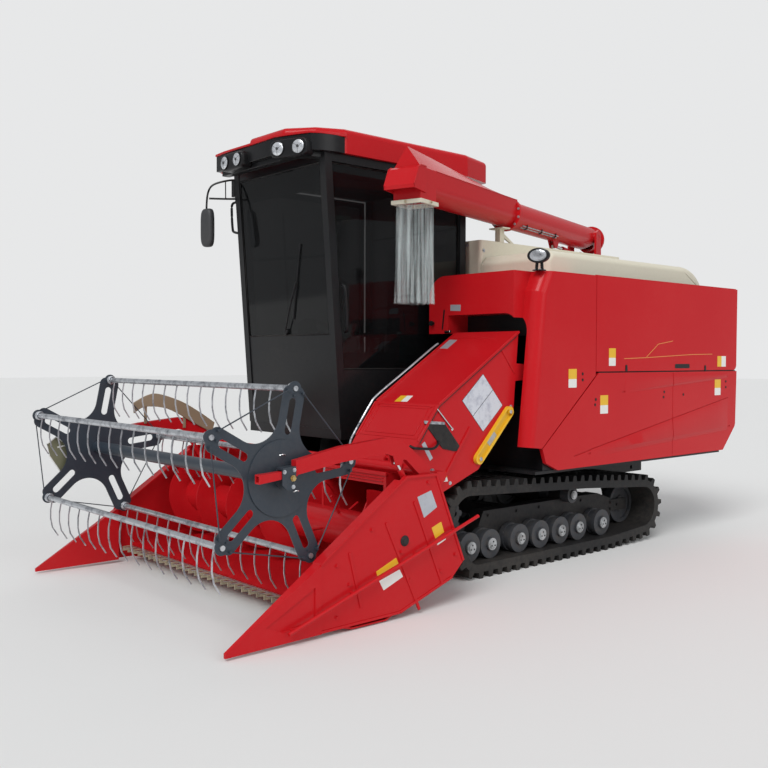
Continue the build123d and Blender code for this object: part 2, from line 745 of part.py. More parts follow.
wall = 12
header_lift_eye = (-700, 600)
lift_x = 312
with BuildPart() as feeder_house:
    side_slab(
        ((-1205, 250), (-1205, 735), (-1150, 735), (-1150, 800), (-1060, 925), (-890, 1145), (-131, 1617), (-178, 1079),
         (-520, 721), (-850, 600), (-1060, 250)),
        feeder_right, feeder_left,
    )
    side_slab(
        ((-1230, 262), (-1230, 723), (-1138, 723), (-1138, 796), (-1050, 918), (-882, 1136), (-100, 1622), (-160, 1070),
         (-516, 733), (-858, 611), (-1067, 262)),
        feeder_right + wall, feeder_left - wall, Mode.SUBTRACT,
    )
    for x in (feeder_right - 34, feeder_left):
        cross_shaft(feeder_pivot, 40, x, x + 34)
    for x in (feeder_right, feeder_left - wall):
        side_slab(((-170, 1290), (-170, 1410), (-20, 1400), (20, 1370), (20, 1330), (-20, 1300)), x, x + wall)
    for x in (lift_x - 32, lift_x + 24):
        side_slab(((-740, 660), (-640, 690), (-670, 585), (-700, 572), (-730, 585)), x, x + 8)
    cross_shaft(header_lift_eye, 12, lift_x - 32, lift_x + 32)
    side_slab(
        (
            (-126, 1616), (-131, 1627), (-896, 1153), (-1069, 931), (-1158, 806), (-1158, 800),
            (-1148, 800), (-1060, 922), (-889, 1143),
        ),
        feeder_right - 10, feeder_left + 10,
    )
    side_strip((-870, 650), (-600, 1000), 9, feeder_left - 2, feeder_left + 8)
save(feeder_house.part, "feeder_house")

with BuildPart() as header_trough:
    with BuildSketch(Plane.YZ.offset(-header_half)) as pan:
        with BuildLine():
            inner = CenterArc(auger_at, auger_radius + 20, 262, 98)
            outer = CenterArc(auger_at, auger_radius + 30, 262, 98)
            Polyline(inner @ 0, (-1950, 112), (-1950, 102), outer @ 0)
            Polyline(
                inner @ 1, (auger_at[0] + auger_radius + 20, 790), (auger_at[0] + auger_radius + 30, 790),
                outer @ 1,
            )
        make_face()
    extrude(amount=2 * header_half)
    block((-header_half, header_half), (-1205, -1150), (735, 790))
    block((-header_half, header_half), (-1530, -1440), (70, 160))
    block((268, 867), (-1330, -1205), (210, 760))
    cross_shaft(auger_at, auger_radius + 20, -header_half, header_half, Mode.SUBTRACT)
    block((292, 843), (-1400, -1190), (255, 690), Mode.SUBTRACT)
    for x in (-1000, -330, 310, 980):
        side_slab(
            ((-1205, 735), (-1205, 790), (-1255, 850), (-1325, 850), (-1325, 760), (-1215, 735)), x, x + 20
        )
        cross_shaft(reel_pivot, 31, x, x + 20, Mode.SUBTRACT)
save(header_trough.part, "header_trough")

divider_outline = (
    (-2072, 380), (-1467, 788), (-1234, 785), (-1007, 254), (-1100, 167), (-1516, 30), (-2013, 24), (-2072, 24),
)
divider_ribs = (((-1875, 418), (-1794, 113)), ((-1619, 546), (-1367, 28)), ((-1409, 642), (-1183, 140)))
divider_skin = header_half + 12
reel_cylinder_base = (-1400, 700)
for side, name in ((1, "divider_left"), (-1, "divider_right")):
    with BuildPart() as divider:
        x_a, x_b = sorted((side * header_half, side * divider_skin))
        side_slab(divider_outline, x_a, x_b)
        x_a, x_b = sorted((side * 1128, side * (divider_skin + 8)))
        side_slab(((-2066, 372), (-2066, 385), (-1500, 766), (-1500, 753)), x_a, x_b)
        x_a, x_b = sorted((side * 1171, side * (divider_skin + 8)))
        side_slab(
            ((-1506, 749), (-1506, 762), (-1468, 788), (-1240, 786), (-1240, 772), (-1464, 774)), x_a, x_b
        )
        x_a, x_b = sorted((side * (divider_skin - 3), side * (divider_skin + 6)))
        for start, end in divider_ribs:
            side_strip(start, end, 8, x_a, x_b)
        side_strip((-1238, 783), (-1012, 256), 7, x_a, x_b)
        side_strip((-1515, 38), (-2066, 32), 7, x_a, x_b)
        side_strip((-1104, 172), (-1512, 38), 7, x_a, x_b)
        # pointed nose that parts the crop, with a pressed recess in its outer face
        corners = ((1136, 22), (divider_skin + 4, 22), (divider_skin + 4, 379), (1136, 388))
        tip = ((1174, 14), (1190, 14), (1190, 34), (1174, 38))
        with BuildSketch(Plane.XZ.offset(2060)) as nose_base:
            with BuildLine():
                Polyline(*[(side * x, z) for x, z in corners], close=True)
            make_face()
        with BuildSketch(Plane.XZ.offset(2630)) as nose_tip:
            with BuildLine():
                Polyline(*[(side * x, z) for x, z in tip], close=True)
            make_face()
        loft([nose_base.sketch, nose_tip.sketch])
        x_a, x_b = sorted((side * (divider_skin - 4), side * (divider_skin + 12)))
        side_slab(((-2100, 270), (-2400, 118), (-2309, 81), (-2100, 100)), x_a, x_b, Mode.SUBTRACT)
        # skid shoe under the divider
        x_a, x_b = sorted((side * 1140, side * (divider_skin - 2)))
        side_slab(
            (
                (-1930, 26), (-1856, 8), (-1612, 8), (-1560, 32), (-1576, 32), (-1618, 16), (-1850, 16),
                (-1912, 32), (-1930, 32),
            ), x_a, x_b
        )
        x_a, x_b = sorted((side * 1164, side * header_half))
        side_slab(((-1440, 660), (-1360, 660), (-1360, 740), (-1440, 740)), x_a, x_b)
        x_a, x_b = sorted((side * 1132, side * 1164))
        cross_shaft(reel_cylinder_base, 8, x_a, x_b)
        if side == 1:
            rod((1222, -2285, 70), (1222, -915, 510), 10)
            for y, z in ((-2250, 81), (-1863, 206), (-1100, 451)):
                cross_shaft((y, z), 7, divider_skin - 4, 1222)
        cross_shaft(
            auger_at, 22, min(side * header_half, side * divider_skin),
            max(side * header_half, side * divider_skin), Mode.SUBTRACT,
        )
    save(divider.part, name)

guard_count = 30
guard_pitch = 76.2
knife_slot = (102, 112)  # z of the gap that the knife runs in
with BuildPart() as knife_guards:
    block((-1160, 1160), (-1960, -1920), (88, 102))
    for number in range(guard_count):
        x = (number - (guard_count - 1) / 2) * guard_pitch
        plan_slab(
            (
                (x - 12, -1956), (x + 12, -1956), (x + 9, -2005), (x + 2.5, -2046), (x - 2.5, -2046),
                (x - 9, -2005),
            ), 88, knife_slot[0]
        )
        plan_slab(((x - 8, -1994), (x + 8, -1994), (x + 2.5, -2046), (x - 2.5, -2046)), knife_slot[0], 118)
    block((-1170, 1170), (-2030, -1900), knife_slot, Mode.SUBTRACT)
save(knife_guards.part, "knife_guards")

with BuildPart() as knife:
    block((-1130, 1130), (-1977, -1959), (104, 110))
    for number in range(guard_count):
        x = (number - (guard_count - 1) / 2) * guard_pitch
        plan_slab(((x - 34, -1974), (x + 34, -1974), (x + 7, -2024), (x - 7, -2024)), 104, 107)
save(knife.part, "knife")

flight_runs = (  # x start, turns, left-handed
    (-1110, 3.6, False),
    (868, 0.65, True),
)
flight_pitch = 380
with BuildPart() as platform_auger:
    cross_shaft(auger_at, auger_tube_radius, -1150, 1150)
    cross_shaft(auger_at, auger_tube_radius - 8, -1140, 1140, Mode.SUBTRACT)
    for x in (-1150, 1130):
        with BuildSketch(Plane.YZ.offset(x)) as vent:
            with Locations(auger_at):
                with PolarLocations(65, 4):
                    Circle(18)
        extrude(amount=20, mode=Mode.SUBTRACT)
    for x in (-1176, 1150):
        cross_shaft(auger_at, 21, x, x + 26)
    for x_start, turns, left in flight_runs:
        spine = Helix(flight_pitch, flight_pitch * turns, (auger_radius + auger_tube_radius) / 2, center=(x_start, *auger_at),
                      direction=(1, 0, 0), lefthand=left, mode=Mode.PRIVATE)
        start = spine @ 0
        radial = Vector(0, start.Y - auger_at[0], start.Z - auger_at[1]).normalized()
        with BuildSketch(Plane(origin=start, x_dir=radial, z_dir=spine % 0)) as section:
            Rectangle(auger_radius - auger_tube_radius + 8, 6)
        sweep(section.sketch, path=spine, is_frenet=True)
    for number in range(12):
        x = 320 + number * 45
        angle = radians(number * 150)
        reach = auger_radius - 12
        rod((x, auger_at[0] + 104 * cos(angle), auger_at[1] + 104 * sin(angle)),
            (x, auger_at[0] + reach * cos(angle), auger_at[1] + reach * sin(angle)), 8)
save(platform_auger.part, "platform_auger")

lock_ends = ((-239, 1087), (-530, 792))
with BuildPart() as lock_bar:
    side_strip(*lock_ends, 36, feeder_left, feeder_left + 26)
    for end in lock_ends:
        cross_shaft(end, 36, feeder_left, feeder_left + 26)
    side_strip(*lock_ends, 26, feeder_left + 8, feeder_left + 28, Mode.SUBTRACT)
    for end in lock_ends:
        cross_shaft(end, 14, feeder_left + 4, feeder_left + 32)
save(lock_bar.part, "lock_bar")

# Reel

reel_cylinder_eye = (-1500, 862)
with BuildPart() as reel_arms:
    cross_shaft(reel_pivot, 30, -1165, 1165)
    cross_shaft(reel_pivot, 24, -1170, 1170, Mode.SUBTRACT)
    for side in (1, -1):
        x_a, x_b = sorted((side * 1125, side * 1165))
        side_slab(
            ((-2200, 850), (-2200, 925), (-1900, 978), (-1590, 1005), (-1480, 985), (-1390, 925), (-1270, 830), (-1255, 790),
             (-1290, 765), (-1330, 775), (-1440, 872), (-1590, 918), (-1900, 895)),
            x_a, x_b,
        )
        side_slab(((-2420, 822), (-2420, 868), (-2190, 880), (-2190, 846)), x_a, x_b)
        side_slab(((-2422, 830), (-2422, 860), (-2310, 866), (-2310, 838)), x_a + 6, x_b - 6, Mode.SUBTRACT)
        cross_shaft(reel_at, 24, x_a, x_b, Mode.SUBTRACT)
        for x in (side * 1145 - 20, side * 1145 + 14):
            side_slab(((-1545, 915), (-1520, 848), (-1480, 848), (-1445, 915)), x, x + 6)
        cross_shaft(reel_cylinder_eye, 7, x_a, x_b)
save(reel_arms.part, "reel_arms")

with BuildPart() as reel_bearings:
    for side in (1, -1):
        for low, high in ((1116, 1124), (1166, 1174)):
            x_a, x_b = sorted((side * low, side * high))
            side_slab(
                ((-2288, 893), (-2206, 897), (-2206, 800), (-2222, 780), (-2262, 780), (-2288, 806)), x_a, x_b
            )
            cross_shaft(reel_at, 22.5, x_a, x_b, Mode.SUBTRACT)
        x_a, x_b = sorted((side * 1116, side * 1174))
        side_slab(((-2288, 882), (-2206, 886), (-2206, 897), (-2288, 893)), x_a, x_b)
save(reel_bearings.part, "reel_bearings")


def reel_vertex(number):
    """(y, z) of the tine bar on one of the reel's arms."""
    angle = radians(reel_first_angle + number * 360 / reel_arms_count)
    return (reel_at[0] - reel_radius * sin(angle), reel_at[1] + reel_radius * cos(angle))


arm_bearing = 90 + reel_first_angle
spider_hub, web_at, web_radius = 300, 362, 147
stay_at, stay_off = 448, 46  # place of the eyes of the stays, along and across an arm
with BuildPart() as reel:
    cross_shaft(reel_at, 38, -reel_spider_x, reel_spider_x)
    cross_shaft(reel_at, 30, -reel_spider_x - 20, reel_spider_x + 20, Mode.SUBTRACT)
    cross_shaft(reel_at, 21, -1172, 1172)
    for side in (1, -1):
        with BuildSketch(Plane.YZ.offset(side * reel_spider_x - 4)) as spider:
            with Locations(reel_at):
                Circle(spider_hub)
                with PolarLocations(350, reel_arms_count, arm_bearing):
                    RectangleRounded(250, 132, 40)
                with PolarLocations(reel_radius, reel_arms_count, arm_bearing):
                    Circle(38)
                with PolarLocations(web_at, reel_arms_count, arm_bearing + 36):
                    Circle(web_radius, mode=Mode.SUBTRACT)
                with PolarLocations(318, reel_arms_count, arm_bearing):
                    SlotOverall(190, 44, mode=Mode.SUBTRACT)
                with PolarLocations(reel_radius, reel_arms_count, arm_bearing):
                    Circle(15.5, mode=Mode.SUBTRACT)
        extrude(amount=8)
        x_a, x_b = sorted((side * (reel_spider_x + 4), side * (reel_spider_x + 12)))
        cross_shaft(reel_at, 196, x_a, x_b)
        for number in range(reel_arms_count):
            angle = radians(arm_bearing + number * 72)
            after = angle + radians(72)
            ends = []
            for turn, off in ((angle, stay_off), (after, -stay_off)):
                y = reel_at[0] + stay_at * cos(turn) - off * sin(turn)
                z = reel_at[1] + stay_at * sin(turn) + off * cos(turn)
                cross_shaft(
                    (y, z), 7, min(side * (reel_spider_x + 2), side * 1100), max(side * (reel_spider_x + 2),
                     side * 1100),
                )
                ends.append((side * 1096, y, z))
            rod(*ends, 3.5)
save(reel.part, "reel")

tine_spacing = 144
tine_profile = (  # (y, z) from the bar's axis
    (-4, -12), (-15, -70), (-16, -130), (-4, -190), (34, -tine_length), (
        40, -tine_length + 3
    ), (3, -188), (-9, -130),
    (-8, -70), (3, -12),
)
for number in range(reel_arms_count):
    bar_y, bar_z = reel_vertex(number)
    with BuildPart() as tine_bar:
        cross_shaft((bar_y, bar_z), 17, -reel_spider_x + 10, reel_spider_x - 10)
        cross_shaft((bar_y, bar_z), 14, -reel_spider_x - 12, reel_spider_x + 12)
        for place in range(-7, 8):
            x = place * tine_spacing
            side_slab([(bar_y + y, bar_z + z) for y, z in tine_profile], x - 3, x + 3)
    save(tine_bar.part, f"tine_bar_{number + 1}")

reel_tilt, reel_cylinder_length = cylinder_line(reel_cylinder_base, reel_cylinder_eye)
with BuildPart() as reel_cylinder_barrels:
    for side in (1, -1):
        x = side * 1145
        a = on_cylinder(reel_cylinder_base, reel_tilt, 12)
        b = on_cylinder(reel_cylinder_base, reel_tilt, 140)
        cross_shaft(reel_cylinder_base, 19, x - 12, x + 12)
        rod((x, *a), (x, *b), 17)
        cross_shaft(reel_cylinder_base, 8.6, x - 12, x + 12, Mode.SUBTRACT)
        rod((x, *on_cylinder(reel_cylinder_base, reel_tilt, 30)), (x, *b), 11, Mode.SUBTRACT)
save(reel_cylinder_barrels.part, "reel_cylinder_barrels")

with BuildPart() as reel_cylinder_rods:
    for side in (1, -1):
        x = side * 1145
        a = on_cylinder(reel_cylinder_base, reel_tilt, 70)
        b = on_cylinder(reel_cylinder_base, reel_tilt, reel_cylinder_length - 16)
        rod((x, *a), (x, *b), 10)
        cross_shaft(reel_cylinder_eye, 17, x - 10, x + 10)
        cross_shaft(reel_cylinder_eye, 10, x - 10, x + 10, Mode.SUBTRACT)
save(reel_cylinder_rods.part, "reel_cylinder_rods")

lift_tilt, lift_length = cylinder_line(lift_base, header_lift_eye)
with BuildPart() as lift_barrel:
    cross_shaft(lift_base, 32, lift_x - 26, lift_x + 26)
    rod((lift_x, *on_cylinder(lift_base, lift_tilt, 30)), (lift_x, *on_cylinder(lift_base, lift_tilt, 500)), 30)
    cross_shaft(lift_base, 16, lift_x - 30, lift_x + 30, Mode.SUBTRACT)
    rod(
        (lift_x, *on_cylinder(lift_base, lift_tilt, 60)), (lift_x, *on_cylinder(lift_base, lift_tilt, 510)),
        20, Mode.SUBTRACT,
    )
save(lift_barrel.part, "lift_barrel")

with BuildPart() as lift_rod:
    rod(
        (lift_x, *on_cylinder(lift_base, lift_tilt, 90)),
        (lift_x, *on_cylinder(lift_base, lift_tilt, lift_length - 27)), 18,
    )
    cross_shaft(header_lift_eye, 33, lift_x - 20, lift_x + 20)
    cross_shaft(header_lift_eye, 23, lift_x - 20, lift_x + 20, Mode.SUBTRACT)
save(lift_rod.part, "lift_rod")
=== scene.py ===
import json
import math
import random

import bpy
import bmesh
from mathutils import Matrix, Vector


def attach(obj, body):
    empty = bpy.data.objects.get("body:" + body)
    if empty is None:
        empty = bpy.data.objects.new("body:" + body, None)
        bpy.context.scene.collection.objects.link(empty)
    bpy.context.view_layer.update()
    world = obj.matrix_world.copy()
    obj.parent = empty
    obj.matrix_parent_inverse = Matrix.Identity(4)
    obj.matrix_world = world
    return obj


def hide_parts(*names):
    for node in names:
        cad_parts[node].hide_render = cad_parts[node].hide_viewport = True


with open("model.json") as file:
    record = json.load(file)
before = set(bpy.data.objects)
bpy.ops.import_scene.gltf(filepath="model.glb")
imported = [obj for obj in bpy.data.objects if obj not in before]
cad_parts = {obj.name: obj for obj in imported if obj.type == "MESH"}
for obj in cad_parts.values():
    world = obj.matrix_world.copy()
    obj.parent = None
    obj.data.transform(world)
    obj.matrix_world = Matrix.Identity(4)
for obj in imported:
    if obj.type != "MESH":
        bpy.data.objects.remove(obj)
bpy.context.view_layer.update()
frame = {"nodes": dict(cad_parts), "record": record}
nodes = frame["nodes"]
print("frame loaded:", len(nodes), "nodes")


# small helpers for node trees

def link(tree, output, target):
    tree.links.new(output, target)


def addNode(tree, kind, feeds=None, **values):
    # feeds gives each input either another node's output or a constant
    node = tree.nodes.new(kind)
    for key, value in values.items():
        setattr(node, key, value)
    for key, feed in (feeds or {}).items():
        if isinstance(feed, bpy.types.NodeSocket):
            link(tree, feed, node.inputs[key])
        else:
            node.inputs[key].default_value = feed
    return node


def newGroup(name, inputs, outputs):
    group = bpy.data.node_groups.new(name, "ShaderNodeTree")
    for label, kind, value in inputs:
        group.interface.new_socket(label, in_out="INPUT", socket_type=kind).default_value = value
    for label, kind in outputs:
        group.interface.new_socket(label, in_out="OUTPUT", socket_type=kind)
    return group, addNode(group, "NodeGroupInput").outputs, addNode(group, "NodeGroupOutput").inputs


skinOutputs = [("Colour", "NodeSocketColor"), ("Roughness", "NodeSocketFloat"), ("Height", "NodeSocketFloat")]


def endSkin(group, given, result, base, amount, cover, roughen, height):
    # the cover colour over the base where amount says so, rougher there
    mix = addNode(group, "ShaderNodeMix", {"Factor": amount, 6: base, 7: given[cover]}, data_type="RGBA")
    link(group, mix.outputs[2], result["Colour"])
    rough = addNode(group, "ShaderNodeMath", {0: amount, 1: roughen, 2: given["Roughness"]},
        operation="MULTIPLY_ADD", use_clamp=True)
    link(group, rough.outputs[0], result["Roughness"])
    link(group, height, result["Height"])
    return group


def makePaintSkin():
    # slow ripple of sprayed enamel, with fine dust lying in it
    group, given, result = newGroup("paintSkin", [
        ("Colour", "NodeSocketColor", (0.6, 0.02, 0.02, 1)), ("Dust Colour", "NodeSocketColor", (0.35, 0.3, 0.24, 1)),
        ("Dust", "NodeSocketFloat", 0.1), ("Ripple Scale", "NodeSocketFloat", 60.0),
        ("Roughness", "NodeSocketFloat", 0.25), ("Variation", "NodeSocketFloat", 0.05)], skinOutputs)
    place = addNode(group, "ShaderNodeTexCoord").outputs["Object"]
    ripple = addNode(group, "ShaderNodeTexNoise", {"Vector": place, "Scale": given["Ripple Scale"], "Detail": 2.0})
    broad = addNode(group, "ShaderNodeTexNoise", {"Vector": place, "Scale": 1.7, "Detail": 5.0})
    speck = addNode(group, "ShaderNodeTexNoise", {"Vector": place, "Scale": 34.0, "Detail": 8.0, "Roughness": 0.7})
    patch = addNode(group, "ShaderNodeMath", {0: broad.outputs["Fac"], 1: speck.outputs["Fac"]}, operation="MULTIPLY")
    spread = addNode(group, "ShaderNodeMapRange", {"Value": patch.outputs[0], "From Min": 0.18, "From Max": 0.42})
    amount = addNode(group, "ShaderNodeMath", {0: spread.outputs["Result"], 1: given["Dust"]}, operation="MULTIPLY")
    shift = addNode(group, "ShaderNodeMapRange", {"Value": broad.outputs["Fac"], "To Min": -1.0, "To Max": 1.0})
    vary = addNode(group, "ShaderNodeMath", {0: shift.outputs["Result"], 1: given["Variation"], 2: 1.0},
        operation="MULTIPLY_ADD")
    tone = addNode(group, "ShaderNodeHueSaturation", {"Color": given["Colour"], "Value": vary.outputs[0]})
    return endSkin(group, given, result, tone.outputs["Color"], amount.outputs[0], "Dust Colour", 0.6,
        ripple.outputs["Fac"])


def makeMetalSkin():
    # drawn or plated metal: long scratches, cloudy patches and small stains
    group, given, result = newGroup("metalSkin", [
        ("Colour", "NodeSocketColor", (0.6, 0.62, 0.64, 1)), ("Stain Colour", "NodeSocketColor", (0.2, 0.18, 0.16, 1)),
        ("Stain", "NodeSocketFloat", 0.3), ("Scratch Scale", "NodeSocketFloat", 220.0),
        ("Roughness", "NodeSocketFloat", 0.3), ("Stretch", "NodeSocketVector", (1.0, 1.0, 1.0))], skinOutputs)
    place = addNode(group, "ShaderNodeTexCoord").outputs["Object"]
    stretch = addNode(group, "ShaderNodeVectorMath", {0: place, 1: given["Stretch"]}, operation="MULTIPLY")
    scratch = addNode(group, "ShaderNodeTexNoise",
        {"Vector": stretch.outputs[0], "Scale": given["Scratch Scale"], "Detail": 3.0})
    cloud = addNode(group, "ShaderNodeTexNoise", {"Vector": place, "Scale": 18.0, "Detail": 6.0, "Roughness": 0.65})
    stain = addNode(group, "ShaderNodeMapRange", {"Value": cloud.outputs["Fac"], "From Min": 0.46, "From Max": 0.72})
    amount = addNode(group, "ShaderNodeMath", {0: stain.outputs["Result"], 1: given["Stain"]}, operation="MULTIPLY")
    return endSkin(group, given, result, given["Colour"], amount.outputs[0], "Stain Colour", 0.35,
        scratch.outputs["Fac"])


paintSkin = makePaintSkin()
metalSkin = makeMetalSkin()


def newMaterial(name):
    material = bpy.data.materials.new(name)
    material.use_nodes = True
    return material, material.node_tree, material.node_tree.nodes["Principled BSDF"]


def skinMaterial(name, skin, settings, bump, distance, **sockets):
    material, tree, shader = newMaterial(name)
    group = addNode(tree, "ShaderNodeGroup", node_tree=skin)
    for key, value in settings.items():
        group.inputs[key].default_value = (*value, 1) if "Colour" in key else value
    link(tree, group.outputs["Colour"], shader.inputs["Base Color"])
    link(tree, group.outputs["Roughness"], shader.inputs["Roughness"])
    relief = addNode(tree, "ShaderNodeBump",
        {"Strength": bump, "Distance": distance, "Height": group.outputs["Height"]})
    link(tree, relief.outputs["Normal"], shader.inputs["Normal"])
    for key, value in sockets.items():
        shader.inputs[key.replace("_", " ")].default_value = value
    return material


def painted(name, colour, dust, roughness, bump, distance=0.001, ripple=60.0, variation=0.05, **sockets):
    return skinMaterial(name, paintSkin, {"Colour": colour, "Dust": dust, "Roughness": roughness,
        "Ripple Scale": ripple, "Variation": variation}, bump, distance, **sockets)


def plated(name, colour, stain, roughness, bump, distance=0.0006, stainColour=(0.2, 0.18, 0.16), scratch=220.0,
        stretch=(1.0, 1.0, 1.0), **sockets):
    return skinMaterial(name, metalSkin, {"Colour": colour, "Stain": stain, "Roughness": roughness,
        "Stain Colour": stainColour, "Scratch Scale": scratch, "Stretch": stretch}, bump, distance, **sockets)


redEnamel = painted("redEnamel", (0.53, 0.009, 0.014), 0.02, 0.24, 0.04, ripple=90.0, Specular_IOR_Level=0.2)
creamEnamel = painted("creamEnamel", (0.72, 0.68, 0.55), 0.12, 0.38, 0.05, ripple=70.0, variation=0.04)
blackEnamel = painted("blackEnamel", (0.008, 0.0085, 0.010), 0.02, 0.3, 0.05, ripple=90.0, Specular_IOR_Level=0.28)
slateEnamel = painted("slateEnamel", (0.030, 0.041, 0.056), 0.05, 0.33, 0.06, ripple=80.0, Specular_IOR_Level=0.4)
chassisBlack = painted("chassisBlack", (0.013, 0.013, 0.015), 0.08, 0.5, 0.1, ripple=40.0, Specular_IOR_Level=0.3)
lockYellow = painted("lockYellow", (0.80, 0.47, 0.02), 0.06, 0.28, 0.05)
trackRubber = painted("trackRubber", (0.011, 0.011, 0.012), 0.09, 0.6, 0.35, 0.002, 120.0, 0.2, Specular_IOR_Level=0.35)
seatVinyl = painted("seatVinyl", (0.02, 0.02, 0.022), 0.03, 0.5, 0.3, ripple=400.0)
consolePlastic = painted("consolePlastic", (0.04, 0.042, 0.045), 0.05, 0.5, 0.2, ripple=300.0)
plateWhite = painted("plateWhite", (0.78, 0.78, 0.75), 0.05, 0.4, 0.02, 0.0003)
stripeGold = painted("stripeGold", (0.72, 0.30, 0.06), 0.04, 0.3, 0.03, 0.0003)
guardOlive = painted("guardOlive", (0.17, 0.17, 0.10), 0.15, 0.5, 0.1, 0.0006)
coverTan = painted("coverTan", (0.30, 0.22, 0.14), 0.25, 0.55, 0.15, variation=0.15)
tailRed = painted("tailRed", (0.45, 0.01, 0.01), 0.03, 0.15, 0.3, ripple=300.0, Coat_Weight=1.0)
seatFabric = painted("seatFabric", (0.022, 0.023, 0.026), 0.05, 0.7, 0.5, ripple=900.0, Sheen_Weight=0.3)
screenGlass = painted("screenGlass", (0.01, 0.012, 0.016), 0.02, 0.08, 0.01, 0.0002, Coat_Weight=0.8)

galvanized = plated("galvanized", (0.58, 0.60, 0.63), 1.0, 0.3, 0.12, 0.001, (0.13, 0.14, 0.165),
    stretch=(0.2, 1.0, 1.0), Metallic=0.8)
wornSteel = plated("wornSteel", (0.6, 0.6, 0.6), 0.4, 0.3, 0.15, Metallic=0.9)
guardGold = plated("guardGold", (0.55, 0.48, 0.34), 0.6, 0.35, 0.15, Metallic=0.6)
hardChrome = plated("hardChrome", (0.78, 0.79, 0.81), 0.1, 0.12, 0.02, 0.0003, Metallic=1.0)
castIron = plated("castIron", (0.045, 0.048, 0.055), 0.5, 0.5, 0.4, 0.002, (0.1, 0.085, 0.07), 90.0)
plateSilver = plated("plateSilver", (0.50, 0.53, 0.58), 0.5, 0.35, 0.05, 0.0003, (0.36, 0.38, 0.43), Metallic=0.4)
plateFilm = plated("plateFilm", (0.66, 0.68, 0.74), 0.9, 0.35, 0.12, 0.0005, (0.40, 0.42, 0.50), 60.0, Metallic=0.15)
mirrorSilver = plated("mirrorSilver", (0.75, 0.77, 0.8), 0.05, 0.03, 0.01, 0.0002, Metallic=1.0)
lampReflector = plated("lampReflector", (0.82, 0.84, 0.87), 1.0, 0.2, 0.6, 0.003, (0.25, 0.27, 0.3), 90.0, Metallic=0.7)
ribbedLens = plated("ribbedLens", (0.50, 0.52, 0.55), 1.0, 0.2, 0.6, 0.003, (0.02, 0.022, 0.025), 60.0, Metallic=0.5)
brassBolt = plated("brassBolt", (0.62, 0.45, 0.18), 0.3, 0.28, 0.05, 0.0004, Metallic=0.9)
capSteel = plated("capSteel", (0.52, 0.54, 0.55), 0.8, 0.38, 0.25, 0.0008, (0.16, 0.16, 0.16), 120.0, Metallic=0.6)


def glassMaterial(name, colour, roughness, transmission, alpha=1.0, shine=0.5):
    # faintly smeared glass
    material, tree, shader = newMaterial(name)
    shader.inputs["Base Color"].default_value = (*colour, 1)
    shader.inputs["Transmission Weight"].default_value = transmission
    shader.inputs["IOR"].default_value = 1.45
    shader.inputs["Alpha"].default_value = alpha
    shader.inputs["Specular IOR Level"].default_value = shine
    place = addNode(tree, "ShaderNodeTexCoord").outputs["Object"]
    smear = addNode(tree, "ShaderNodeTexNoise", {"Vector": place, "Scale": 3.0})
    spread = addNode(tree, "ShaderNodeMapRange",
        {"Value": smear.outputs["Fac"], "To Min": roughness, "To Max": roughness + 0.06})
    link(tree, spread.outputs["Result"], shader.inputs["Roughness"])
    return material


def vinylMaterial(name, colour, roughness, clear, cloudy):
    # clear sheet with long upright streaks, cloudier where it has been folded
    material, tree, shader = newMaterial(name)
    shader.inputs["Base Color"].default_value = (*colour, 1)
    shader.inputs["Roughness"].default_value = roughness
    place = addNode(tree, "ShaderNodeTexCoord").outputs["Object"]
    stretch = addNode(tree, "ShaderNodeVectorMath", {0: place, 1: (38.0, 38.0, 1.6)}, operation="MULTIPLY")
    streak = addNode(tree, "ShaderNodeTexNoise", {"Vector": stretch.outputs[0], "Scale": 1.0, "Detail": 3.0})
    spread = addNode(tree, "ShaderNodeMapRange", {"Value": streak.outputs["Fac"], "From Min": 0.42, "From Max": 0.68,
        "To Min": clear, "To Max": cloudy})
    link(tree, spread.outputs["Result"], shader.inputs["Alpha"])
    return material


tintedGlass = glassMaterial("tintedGlass", (0.006, 0.0065, 0.007), 0.02, 0.0, alpha=0.78, shine=0.3)
lampGlass = glassMaterial("lampGlass", (0.85, 0.88, 0.92), 0.05, 0.3)
curtainVinyl = vinylMaterial("curtainVinyl", (0.70, 0.78, 0.78), 0.12, 0.035, 0.30)

finishOf = {
    "red_paint": redEnamel, "cream_paint": creamEnamel, "black_paint": blackEnamel, "slate_paint": slateEnamel,
    "frame_paint": chassisBlack, "yellow_paint": lockYellow, "galvanized": galvanized, "worn_steel": wornSteel,
    "guard_gold": guardGold, "cylinder_chrome": hardChrome, "engine_iron": castIron, "roller_iron": castIron,
    "track_rubber": trackRubber, "tinted_glass": tintedGlass, "lamp_glass": lampGlass, "seat_vinyl": seatVinyl,
    "console_plastic": consolePlastic, "clear_curtain": curtainVinyl,
}
for entry in frame["record"]["subparts"]:
    piece = nodes[entry["node"]]
    piece.data.materials.clear()
    piece.data.materials.append(finishOf[entry["material_slot"]])
print("finishes assigned:", len(finishOf))


# shared ways of making a mesh

def flat(a, b, h):
    return (a, b, h)  # outline of (x, y), thickness along z


def onSide(a, b, h):
    return (h, a, b)  # outline of (y, z), thickness along x


def onFront(a, b, h):
    return (a, h, b)  # outline of (x, z), thickness along y


def roundTurn(count, start=0.0):
    return [start + 2 * math.pi * k / count for k in range(count)]


def ovalSpot(angle, wide, tall, power=1.0):
    # a point of an oval, squarer as the power falls
    across, up = math.cos(angle), math.sin(angle)
    return math.copysign(abs(across) ** power, across) * wide, math.copysign(abs(up) ** power, up) * tall


def onSides(places):
    # the same places on the left and on the right, with the way each faces
    both = [((side * x, y, z), (side, 0, 0)) for side in (1, -1) for x, y, z in places]
    return [place for place, _ in both], [way for _, way in both]


def box2(a, b):
    return [(a[0], a[1]), (b[0], a[1]), (b[0], b[1]), (a[0], b[1])]


